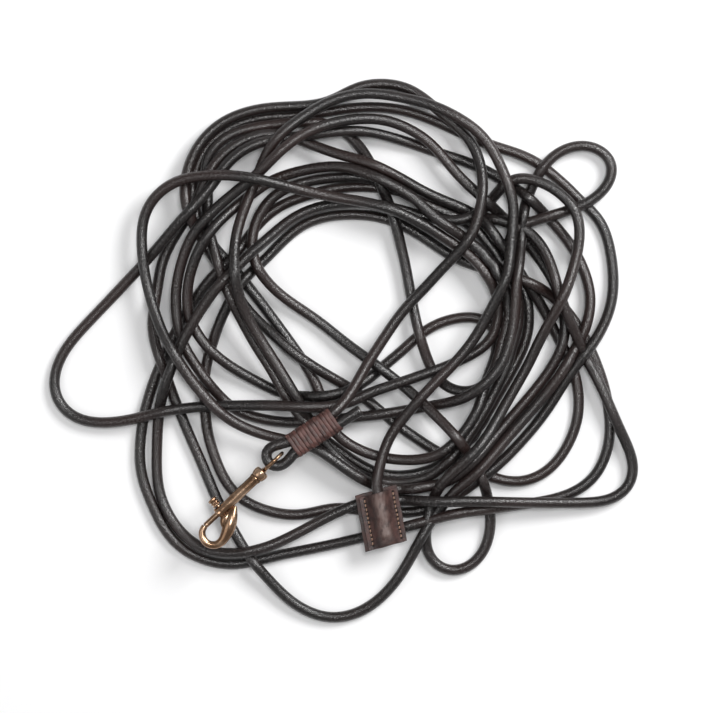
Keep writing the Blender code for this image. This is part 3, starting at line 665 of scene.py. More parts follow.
@dataclass
class Skin:
    """A surface of rings: each row of the grid is one closed ring, and both ends may be capped.

    The point at ring i and side j joins those at i + 1 and at j + 1, and the last side joins the
    first. A cap is a fan from the end ring's middle.
    """

    rings: Array
    along: Array
    around: Array
    capped: bool = True

    def faces(self) -> tuple[Array, list[Array], Array]:
        """The vertices, the faces and each corner's UV, turned so that the faces point outwards.

        Returns:
            The vertices, the groups of faces, and the UV of each corner.
        """
        rows, sides = self.rings.shape[:2]
        points = self.rings.reshape(-1, 3)
        number = np.arange(rows * sides).reshape(rows, sides)
        wide = np.concatenate([number, number[:, :1]], axis=1)
        quads = np.stack([wide[:-1, :-1], wide[:-1, 1:], wide[1:, 1:], wide[1:, :-1]], axis=-1)
        grid = np.stack(np.broadcast_arrays(self.along[:, None], self.around[None, :]), axis=-1)
        uv = np.stack([grid[:-1, :-1], grid[:-1, 1:], grid[1:, 1:], grid[1:, :-1]], axis=-2)
        quads, uv = quads.reshape(-1, 4), uv.reshape(-1, 4, 2)
        fans, fan_uv = [], []
        if self.capped:
            middles = self.rings[[0, -1]].mean(axis=1)
            points = np.concatenate([points, middles])
            for row, middle in ((0, rows * sides), (rows - 1, rows * sides + 1)):
                edge = wide[row]
                tip = np.full(sides, middle)
                fan = (edge[1:], edge[:-1], tip) if row == 0 else (edge[:-1], edge[1:], tip)
                fans.append(np.stack(fan, axis=1))
                fan_uv.append(np.tile(grid[row, 0], (sides, 3, 1)))
        corners = points[quads]
        normal = np.cross(corners[:, 2] - corners[:, 0], corners[:, 3] - corners[:, 1])
        volume = float(np.sum(normal * (corners.mean(axis=1) - points.mean(axis=0))))
        groups = [quads, *([np.concatenate(fans)] if fans else [])]
        maps = [uv, *([np.concatenate(fan_uv)] if fans else [])]
        if volume < 0:
            groups = [group[:, ::-1] for group in groups]
            maps = [part[:, ::-1] for part in maps]
        return points, groups, np.concatenate([part.reshape(-1, 2) for part in maps])


def skinned(name: str, skins: Sequence[Skin]) -> bpy.types.Object:
    """One object of one or more skins.

    Args:
        name: The object's name.
        skins: The surfaces it is made of.

    Returns:
        The object.
    """
    points, quads, fans, quad_uv, fan_uv, base = [], [], [], [], [], 0
    for skin in skins:
        own, groups, uv = skin.faces()
        count = groups[0].size
        points.append(own)
        quads.append(groups[0] + base)
        quad_uv.append(uv[:count])
        if len(groups) > 1:
            fans.append(groups[1] + base)
            fan_uv.append(uv[count:])
        base += len(own)
    groups = [np.concatenate(quads), *([np.concatenate(fans)] if fans else [])]
    return mesh_object(name, np.concatenate(points), groups, np.concatenate(quad_uv + fan_uv))


def circle(sides: int, start: float = 0.0) -> Array:
    """The angles of a ring's sides, evenly round it from a starting angle."""
    return start + np.linspace(0, 2 * math.pi, sides, endpoint=False)


def swept(line: Array, out: Array, wide: Array, tall: Array, angles: Array, power: float = 1.0) -> Array:
    """Rings of an oval profile carried along a path.

    A ring's point is line + out * tall * s(sin a) + side * wide * s(cos a), where side is square to
    the path and to out, and s raises the size of its value to a power, so that a power under one
    gives a fuller, squarer oval.

    Args:
        line: The path's points.
        out: The direction that the profile's height points in, at each point.
        wide: The profile's half width at each point.
        tall: The profile's half height at each point.
        angles: The angle of each side.
        power: The power of the oval.

    Returns:
        The rings, as points by sides by three.
    """
    heading = unit(np.gradient(line, axis=0))
    side = unit(np.cross(out, heading))
    up = np.cross(heading, side)
    c, s = np.cos(angles), np.sin(angles)
    c = np.sign(c) * np.abs(c) ** power
    s = np.sign(s) * np.abs(s) ** power
    across = side[:, None] * (wide[:, None] * c)[..., None]
    return line[:, None] + across + up[:, None] * (tall[:, None] * s)[..., None]


def round_tube(line: Array, radius: Array | float, sides: int, out: Array | None = None) -> Array:
    """Rings of a round profile carried along a path, with out upwards unless it is given."""
    size = np.broadcast_to(np.asarray(radius, float), (len(line),))
    up = np.broadcast_to((0.0, 0.0, 1.0), line.shape) if out is None else out
    return swept(line, up, size, size, circle(sides, -math.pi / 2))


def lathe(profile: Array, sides: int) -> Array:
    """Rings of a profile turned about Z: the point at angle a is (r cos a, r sin a, z)."""
    angles = circle(sides)
    radius, height = profile[:, :1], profile[:, 1:]
    flat = np.stack([radius * np.cos(angles), radius * np.sin(angles)], axis=-1)
    return np.concatenate([flat, np.broadcast_to(height[..., None], (*flat.shape[:2], 1))], axis=-1)


def rounded_profile(corners: Points, radius: float, steps: int = 4) -> Array:
    """A polyline whose inner corners are rounded by short quadratic curves.

    Each corner p is replaced by (1 - t)^2 a + 2 t (1 - t) p + t^2 b, where a and b lie on its two
    legs at the given radius, or at 0.45 of a leg that is short.

    Args:
        corners: The polyline's points.
        radius: How far from each corner its curve starts.
        steps: The legs of each curve.

    Returns:
        The rounded polyline's points.
    """
    p = np.asarray(corners, float)
    back, ahead = p[:-2] - p[1:-1], p[2:] - p[1:-1]
    back_size = np.linalg.norm(back, axis=1, keepdims=True)
    ahead_size = np.linalg.norm(ahead, axis=1, keepdims=True)
    a = p[1:-1] + back / back_size * np.minimum(radius, 0.45 * back_size)
    b = p[1:-1] + ahead / ahead_size * np.minimum(radius, 0.45 * ahead_size)
    t = np.linspace(0, 1, steps + 1)[:, None, None]
    curve = (1 - t) ** 2 * a + 2 * t * (1 - t) * p[1:-1] + t**2 * b
    inner = curve.transpose(1, 0, 2).reshape(-1, p.shape[1])
    return np.concatenate([p[:1], inner, p[-1:]])


def placed(rings: Array, place: Matrix) -> Array:
    """Rings moved by a placing matrix."""
    matrix = np.array(place)
    return rings @ matrix[:3, :3].T + matrix[:3, 3]


def axes_at(origin: Sequence[float], x_axis: Sequence[float], z_axis: Sequence[float]) -> Matrix:
    """A placing matrix from an origin and the directions of its X and Z axes."""
    x, z = Vector(x_axis).normalized(), Vector(z_axis).normalized()
    y = z.cross(x)
    turn = Matrix((x, y, z)).transposed().to_4x4()
    return Matrix.Translation(origin) @ turn


# ---------------------------------------------------------------- finishes
class Pattern(Enum):
    """The coordinates that a finish's pattern follows."""

    SURFACE = "UV"
    SPACE = "Object"


Color = tuple[float, float, float]


@dataclass
class Board:
    """One material's node board, with short calls that add a node and give its output back."""

    name: str
    pattern: Pattern = Pattern.SPACE
    material: bpy.types.Material = field(init=False)

    def __post_init__(self) -> None:
        """Makes the material and finds its shader and its coordinates."""
        self.material = bpy.data.materials.new(self.name)
        self.material.use_nodes = True
        self.tree = self.material.node_tree
        self.shader = self.tree.nodes["Principled BSDF"]
        self.coordinates = self.add("ShaderNodeTexCoord").outputs[self.pattern.value]

    def add(self, kind: str, **settings: object) -> bpy.types.Node:
        """Adds a node of a kind, with its settings."""
        node = self.tree.nodes.new(kind)
        for key, value in settings.items():
            setattr(node, key, value)
        return node

    def fill(self, node: bpy.types.Node, **inputs: object) -> bpy.types.Node:
        """Sets or joins a node's inputs, with spaces in their names written as underscores."""
        for key, value in inputs.items():
            socket = node.inputs[int(key[1:])] if key[0] == "_" else node.inputs[key.replace("_", " ")]
            if isinstance(value, bpy.types.NodeSocket):
                self.tree.links.new(value, socket)
            else:
                socket.default_value = value
        return node

    def stretched(self, scale: tuple[float, float, float]) -> bpy.types.NodeSocket:
        """The coordinates, each axis times its own scale."""
        node = self.add("ShaderNodeMapping")
        return self.fill(node, Vector=self.coordinates, Scale=scale).outputs[0]

    def noise(
        self, scale: float, detail: float = 3.0, rough: float = 0.5, at: object = None
    ) -> bpy.types.NodeSocket:
        """Smooth noise of about one cell in each 1 / scale metres."""
        node = self.add("ShaderNodeTexNoise")
        where = self.coordinates if at is None else at
        return self.fill(node, Vector=where, Scale=scale, Detail=detail, Roughness=rough).outputs[0]

    def cells(self, scale: float, at: object = None, feature: str = "F1") -> bpy.types.NodeSocket:
        """The distance in a pattern of cells, of about one cell in each 1 / scale metres."""
        node = self.add("ShaderNodeTexVoronoi", feature=feature)
        where = self.coordinates if at is None else at
        return self.fill(node, Vector=where, Scale=scale).outputs["Distance"]

    def bands(
        self, value: object, low: float, high: float, start: float = 0.0, end: float = 1.0
    ) -> bpy.types.NodeSocket:
        """A value carried smoothly from low..high to start..end, and held beyond them."""
        node = self.add("ShaderNodeMapRange", interpolation_type="SMOOTHSTEP")
        return self.fill(node, _0=value, _1=low, _2=high, _3=start, _4=end).outputs[0]

    def blend(self, factor: object, first: object, second: object) -> bpy.types.NodeSocket:
        """A colour between two, by a factor."""
        node = self.add("ShaderNodeMix", data_type="RGBA")
        first = (*first, 1.0) if isinstance(first, tuple) else first
        second = (*second, 1.0) if isinstance(second, tuple) else second
        return self.fill(node, _0=factor, _6=first, _7=second).outputs[2]

    def sums(self, operation: str, first: object, second: object) -> bpy.types.NodeSocket:
        """The result of a sum of two values."""
        node = self.add("ShaderNodeMath", operation=operation)
        return self.fill(node, _0=first, _1=second).outputs[0]

    def attribute(self, name: str) -> bpy.types.NodeSocket:
        """A value kept on the piece's own vertices."""
        return self.add("ShaderNodeAttribute", attribute_name=name).outputs["Fac"]

    def bump(
        self, height: object, depth: float, strength: float = 1.0, under: object = None
    ) -> bpy.types.NodeSocket:
        """A normal bent by a height of that depth, over another normal if one is given."""
        node = self.add("ShaderNodeBump")
        self.fill(node, Height=height, Distance=depth, Strength=strength)
        return (self.fill(node, Normal=under) if under is not None else node).outputs[0]

    def finish(self, **inputs: object) -> bpy.types.Material:
        """Sets or joins the shader's inputs and gives the material back."""
        self.fill(self.shader, **inputs)
        return self.material


@dataclass(frozen=True)
class CordLeather:
    """Rolled and waxed round leather: nearly black, browner in places, with a fine streaky grain and pale
    speckles that are partly painted glints.
    """

    name: str = "cord_leather"
    black: Color = (0.0060, 0.0047, 0.0047)
    brown: Color = (0.0180, 0.0098, 0.0088)
    # pale speckle colour: partly the grain's real tone, partly painted glints
    grain_and_glint: Color = (0.095, 0.078, 0.073)

    def material(self) -> bpy.types.Material:
        """The grain is drawn out along the cord, which the UV map's first axis follows in metres.

        Returns:
            The material.
        """
        board = Board(self.name, Pattern.SURFACE)
        drift = board.noise(9.0, 2.0, 0.5)
        base = board.blend(board.bands(drift, 0.42, 0.62), self.black, self.brown)
        drawn = board.stretched((0.45, 1.0, 1.0))
        grain = board.noise(1500.0, 3.0, 0.65, drawn)
        pores = board.cells(1700.0, drawn)
        # pale speckles along the grain: partly real grain tone, partly painted glints
        pale_mix = board.bands(grain, 0.52, 0.68, 0.0, 0.55)
        color = board.blend(pale_mix, base, self.grain_and_glint)
        rough = board.bands(grain, 0.40, 0.60, 0.42, 0.22)
        shine = board.bands(grain, 0.42, 0.58, 0.30, 0.90)
        normal = board.bump(grain, 0.00022, 0.8)
        normal = board.bump(pores, 0.00012, 0.5, normal)
        return board.finish(
            Base_Color=color, Roughness=rough, Normal=normal, Specular_IOR_Level=shine,
        )


@dataclass(frozen=True)
class CutLeather:
    """The raw face of cut leather: a dyed rim about a paler, fibrous core."""

    name: str = "cut_leather"
    core: Color = (0.055, 0.042, 0.036)
    fibre: Color = (0.20, 0.16, 0.14)

    def material(self) -> bpy.types.Material:
        """Short fibres, as fine noise."""
        board = Board(self.name)
        fibres = board.noise(3200.0, 3.0, 0.7)
        color = board.blend(board.bands(fibres, 0.4, 0.68), self.core, self.fibre)
        return board.finish(Base_Color=color, Roughness=0.85, Normal=board.bump(fibres, 0.0003, 0.8))


@dataclass(frozen=True)
class ThongLeather:
    """The red-brown lacing: darker in blotches, with a painted highlight colour streaked in along its fibres.
    """

    name: str = "thong_leather"
    deep: Color = (0.034, 0.013, 0.011)
    body: Color = (0.105, 0.042, 0.035)
    # a painted highlight colour
    grain_and_glint: Color = (0.27, 0.165, 0.140)

    def material(self) -> bpy.types.Material:
        """The UV map's first axis runs along the thong and its second across it, in metres.

        Returns:
            The material.
        """
        board = Board(self.name, Pattern.SURFACE)
        drift = board.noise(140.0, 3.0, 0.6)
        base = board.blend(board.bands(drift, 0.35, 0.65), self.deep, self.body)
        fibres = board.noise(1300.0, 3.0, 0.6, board.stretched((0.25, 1.0, 1.0)))
        # painted highlight: a paler colour streaked in along the fibres
        color = board.blend(board.bands(fibres, 0.52, 0.75, 0.0, 0.7), base, self.grain_and_glint)
        grain = board.cells(1900.0)
        normal = board.bump(fibres, 0.00035, 0.7)
        normal = board.bump(grain, 0.0001, 0.6, normal)
        rough = board.bands(drift, 0.3, 0.7, 0.38, 0.55)
        return board.finish(Base_Color=color, Roughness=rough, Normal=normal, Specular_IOR_Level=0.5)


@dataclass(frozen=True)
class TabLeather:
    """The tab's pull-up leather: dark brown, mottled, greyer where it is stretched over the cord."""

    name: str = "tab_leather"
    deep: Color = (0.022, 0.0100, 0.0090)
    body: Color = (0.072, 0.032, 0.027)
    pulled: Color = (0.145, 0.100, 0.088)

    def material(self) -> bpy.types.Material:
        """The vertex values give the stretch over the ridge, the stitch holes, which are painted near black
        as shade, and the cut edge.

        Returns:
            The material.
        """
        board = Board(self.name)
        clouds = board.noise(150.0, 4.0, 0.6)
        base = board.blend(board.bands(clouds, 0.34, 0.66), self.deep, self.body)
        streaks = board.noise(420.0, 3.0, 0.6, board.stretched((1.0, 0.35, 1.0)))
        stretch = board.sums("MULTIPLY", board.attribute("stretch"), board.bands(streaks, 0.3, 0.62))
        color = board.blend(stretch, base, self.pulled)
        grain = board.cells(1250.0, feature="SMOOTH_F1")
        fine = board.noise(2600.0, 2.0)
        tops = board.bands(fine, 0.55, 0.75, 0.0, 0.35)
        color = board.blend(tops, color, self.pulled)
        # painted shade: the stitch holes are painted near black
        color = board.blend(board.attribute("hole_shade"), color, (0.004, 0.003, 0.003))
        color = board.blend(board.attribute("edge"), color, (0.030, 0.017, 0.015))
        normal = board.bump(grain, 0.00022, 0.8)
        normal = board.bump(fine, 0.00008, 0.6, normal)
        rough = board.bands(clouds, 0.3, 0.7, 0.40, 0.58)
        return board.finish(Base_Color=color, Roughness=rough, Normal=normal, Specular_IOR_Level=0.5)


@dataclass(frozen=True)
class WaxedThread:
    """Tan waxed thread: two twisted plies with painted shade in the grooves between them, darkened by wax and
    handling in places.
    """

    name: str = "waxed_thread"
    dark: Color = (0.17, 0.085, 0.055)
    pale: Color = (0.55, 0.37, 0.26)

    def material(self) -> bpy.types.Material:
        """The plies slant across the UV map, whose axes are along and round the thread in metres.

        Returns:
            The material.
        """
        board = Board(self.name, Pattern.SURFACE)
        turned = board.add("ShaderNodeMapping")
        board.fill(turned, Vector=board.coordinates, Rotation=(0, 0, math.radians(38)))
        wave = board.add("ShaderNodeTexWave", wave_type="BANDS", bands_direction="X")
        plies = board.fill(wave, Vector=turned.outputs[0], Scale=420.0, Distortion=0.6).outputs[1]
        drift = board.noise(700.0, 3.0)
        # painted shade in the grooves between the plies, times real darkening by wax in places
        groove_shade_and_wax = board.sums("MULTIPLY", plies, board.bands(drift, 0.3, 0.65, 0.35, 1.0))
        color = board.blend(groove_shade_and_wax, self.dark, self.pale)
        normal = board.bump(plies, 0.00012, 0.8)
        return board.finish(Base_Color=color, Roughness=0.62, Normal=normal)


@dataclass(frozen=True)
class AntiqueBronze:
    """Antique bronze plating: worn bright on the outside curves, near black in the recesses."""

    name: str = "antique_bronze"
    bright: Color = (0.62, 0.43, 0.30)
    body: Color = (0.25, 0.150, 0.092)
    patina: Color = (0.030, 0.017, 0.011)
    wear: float = 0.5

    def material(self) -> bpy.types.Material:
        """The surface's own bend picks worn edges and dark recesses, broken up by noise.

        Returns:
            The material.
        """
        board = Board(self.name)
        bend = board.add("ShaderNodeNewGeometry").outputs["Pointiness"]
        clouds = board.noise(75.0, 2.0, 0.5)
        fine = board.noise(700.0, 2.0, 0.5)
        shifted = board.sums("ADD", bend, board.sums("MULTIPLY", board.sums("SUBTRACT", clouds, 0.5), 0.06))
        dark = board.blend(board.bands(shifted, 0.455, 0.505), self.patina, self.body)
        pale_mix = board.bands(clouds, 0.44, 0.68, 0.0, 0.3 + self.wear)
        color = board.blend(pale_mix, dark, self.bright)
        color = board.blend(board.bands(shifted, 0.515, 0.56), color, self.bright)
        stains = board.bands(fine, 0.62, 0.80, 0.0, 0.30)
        color = board.blend(stains, color, self.patina)
        rough = board.bands(fine, 0.3, 0.7, 0.17, 0.27)
        normal = board.bump(fine, 0.00003, 0.4)
        return board.finish(Base_Color=color, Roughness=rough, Normal=normal, Metallic=1.0)


@dataclass(frozen=True)
class SpringSteel:
    """Plain steel with a warm oil stain and faint drawing lines."""

    name: str = "spring_steel"
    color: Color = (0.46, 0.40, 0.35)

    def material(self) -> bpy.types.Material:
        """Fine noise varies how dull it is."""
        board = Board(self.name)
        lines = board.noise(1800.0, 2.0)
        stained = board.blend(board.bands(lines, 0.35, 0.7), self.color, (0.20, 0.13, 0.09))
        rough = board.bands(lines, 0.3, 0.7, 0.22, 0.38)
        normal = board.bump(lines, 0.00004, 0.5)
        return board.finish(Base_Color=stained, Roughness=rough, Metallic=1.0, Normal=normal)


@dataclass(frozen=True)
class PaleFloor:
    """A matt white sweep."""

    name: str = "pale_floor"
    color: Color = (0.93, 0.93, 0.935)

    def material(self) -> bpy.types.Material:
        """Very faint clouds keep the floor from being perfectly even."""
        board = Board(self.name)
        shade = board.blend(board.bands(board.noise(4.0, 2.0), 0.3, 0.7), self.color, (0.91, 0.91, 0.915))
        return board.finish(Base_Color=shade, Roughness=0.9, Specular_IOR_Level=0.1)


def dressed(
    piece: bpy.types.Object, finish: bpy.types.Material, body: str, slot: str, *nodes: str
) -> bpy.types.Object:
    """Gives a piece its finish and its body, and hides the CAD nodes that it stands for.

    Args:
        piece: The piece.
        finish: Its material.
        body: The CAD body that it moves with.
        slot: The record's material slot, not used.
        nodes: The CAD nodes that it replaces.

    Returns:
        The piece.
    """
    piece.data.materials.append(finish)
    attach(piece, body)
    if nodes:
        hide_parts(*nodes)
    LOG.info("%s: %d faces, rides on %s", piece.name, len(piece.data.polygons), body)
    return piece


def baked(piece: bpy.types.Object) -> bpy.types.Object:
    """Puts the result of a piece's modifiers into its mesh, shaded smooth."""
    bpy.context.view_layer.update()
    graph = bpy.context.evaluated_depsgraph_get()
    mesh = bpy.data.meshes.new_from_object(piece.evaluated_get(graph))
    mesh.polygons.foreach_set("use_smooth", np.ones(len(mesh.polygons), bool))
    piece.modifiers.clear()
    piece.data = mesh
    mesh.name = piece.name
    return piece


# ---------------------------------------------------------------- the cord
@dataclass
class LeashCord:
    """The round leather cord, from its cut tail to its end in the tab."""

    diameter: float = 7.5
    length: float = 11.5
    ring_step: float = 2.05
    sides: int = 16
    rim: float = 0.35
    route: CordRoute = field(default_factory=CordRoute)

    def line(self) -> Array:
        """The centreline in metres, finely divided."""
        return in_place(evenly(natural_spline(self.route.settled(), 6), self.ring_step, 3))

    def surface(self, line: Array) -> Skin:
        """The tube, with a small round at each end and a hollow in the tail for its cut face.

        Its radius is r (1 + 0.010 sin(s / 23 mm) + 0.008 sin(s / 8.1 mm + 2)), where s is the
        distance along the cord, as a hand-rolled cord is never even.

        Args:
            line: The centreline.

        Returns:
            The surface, whose UV map is in metres.
        """
        legs = np.linalg.norm(np.diff(line, axis=0), axis=1)
        along = np.concatenate([[0.0], np.cumsum(legs)])
        radius = self.diameter / 2 * MM * (
            1 + 0.010 * np.sin(along / 0.023) + 0.008 * np.sin(along / 0.0081 + 2)
        )
        rings = round_tube(line, radius, self.sides)
        end = self.rim * MM
        heading = unit(np.stack([line[1] - line[0], line[-1] - line[-2]]))
        first = line[0] + (rings[0] - line[0]) * 0.88 - heading[0] * end
        last = line[-1] + (rings[-1] - line[-1]) * 0.88 + heading[1] * end
        hollow = line[0] + (rings[0] - line[0]) * 0.4 + heading[0] * 2 * MM
        rings = np.concatenate([hollow[None], first[None], rings, last[None]])
        along = np.concatenate([[2 * MM, -end], along, [along[-1] + end]])
        around = np.linspace(0, math.pi * self.diameter * MM, self.sides + 1)
        return Skin(rings, along, around)

    def cut_face(self, line: Array) -> bpy.types.Object:
        """The tail's cut face: a shallow dish whose rim stands over a hollow core.

        Args:
            line: The centreline.

        Returns:
            The piece.
        """
        heading = unit(line[1] - line[0])
        radius = self.diameter / 2 * MM
        profile = np.array(
            (
                (0.90, 0.25), (0.80, 0.55), (0.62, 0.50), (0.40, 0.15), (0.22, -0.55), (0.06, -0.9),
                (0.02, -1.4), (0.30, -1.9), (0.90, -1.9),
            )
        )
        rings = lathe(profile * (radius, MM), 40)
        place = axes_at(line[0], np.cross(heading, (0, 0, 1)), -heading)
        return skinned("cord_cut_face", [Skin(placed(rings, place), profile[:, 1] * MM, circle(41) * radius)])

    def build(self, fittings: Sequence[bpy.types.Object]) -> bpy.types.Object:
        """Builds and dresses the cord.

        Args:
            fittings: The pieces at the cord's far end, not used.

        Returns:
            The cord's piece.
        """
        line = self.line()
        LOG.info("the cord's line is %.3f m long", np.linalg.norm(np.diff(line, axis=0), axis=1).sum())
        tube = skinned("leash_cord", [self.surface(line)])
        dressed(tube, CordLeather().material(), "cord", "cord_leather", "leather_cord")
        face = dressed(self.cut_face(line), CutLeather().material(), "cord", "cord_leather")
        return tube


# ---------------------------------------------------------------- the whipping
@dataclass
class Whipping:
    """The lacing wound round the two cords behind the eye, with both its ends tucked under."""

    start: tuple[float, float] = (-37.2, -66.7)
    end: tuple[float, float] = (-6.3, -46.8)
    turns: float = 13.4
    width: float = 2.75
    height: float = 1.35
    cord: float = 7.5
    spread: float = 4.0
    per_turn: int = 56
    sides: int = 14

    def line(self) -> tuple[Array, Array]:
        """The lacing's centreline about its own axis, in mm, and the way out from that axis.

        At angle a the line is at R cos a + 4 tanh(2.6 cos a) across and R sin a up, which is a
        half circle round each cord and a flat run over and under the valley between them. It sinks
        by 0.5 mm |sin a|^16 towards the valley, and each turn leans and swells by a little.

        Returns:
            The centreline and the outward directions.
        """
        steps = int(self.turns * self.per_turn) + 1
        angle = np.linspace(0, 2 * math.pi * self.turns, steps) - 0.35
        turn = angle / (2 * math.pi)
        loose = 0.09 * np.sin(2.4 * turn * math.pi) + 0.07 * np.sin(angle * 0.37 + 1)
        radius = self.cord / 2 + self.height / 2 + 0.12 + loose
        radius -= 0.85 * np.clip(1 - np.minimum(turn + 0.06, self.turns - turn - 0.06) / 0.35, 0, 1) ** 2
        c, s = np.cos(angle), np.sin(angle)
        across = radius * c + self.spread * np.tanh(2.6 * c) / math.tanh(2.6)
        up = radius * s - 0.5 * np.sign(s) * np.abs(s) ** 16
        reach = math.dist(self.start, self.end)
        along = (turn - turn[0]) / self.turns * reach + 0.10 * np.sin(angle * 0.61 + 0.4)
        along += 0.16 * np.sin(angle)
        flat = self.spread * 2.6 / np.cosh(2.6 * c) ** 2
        out = unit(np.stack([radius * c, (radius + flat) * s, np.zeros(steps)], axis=1))
        return np.stack([across, up, along], axis=1), out

    def build(self) -> bpy.types.Object:
        """Builds and dresses the lacing.

        Returns:
            The piece.
        """
        line, out = self.line()
        legs = np.linalg.norm(np.diff(line, axis=0), axis=1)
        along = np.concatenate([[0.0], np.cumsum(legs)])
        swell = 1 + 0.03 * np.sin(along / 3.1) + 0.02 * np.sin(along / 1.3 + 1)
        taper = np.clip(np.minimum(along, along[-1] - along) / 1.6, 0.12, 1) ** 0.6
        wide, tall = self.width / 2 * swell * taper, self.height / 2 * swell * taper
        rings = swept(line, out, wide, tall, circle(self.sides), 0.72)
        axis = Vector((self.end[0] - self.start[0], self.end[1] - self.start[1], 0)).normalized()
        place = axes_at((*self.start, SNAP_Z), (axis.y, -axis.x, 0), axis)
        skin = Skin(
            in_place(placed(rings, place)), along * MM,
            np.linspace(0, 2 * (self.width + self.height) * MM, self.sides + 1),
        )
        lacing = skinned("whipping_lacing", [skin])
        return dressed(lacing, ThongLeather().material(), "cord", "thong_leather", "whipping_thong")


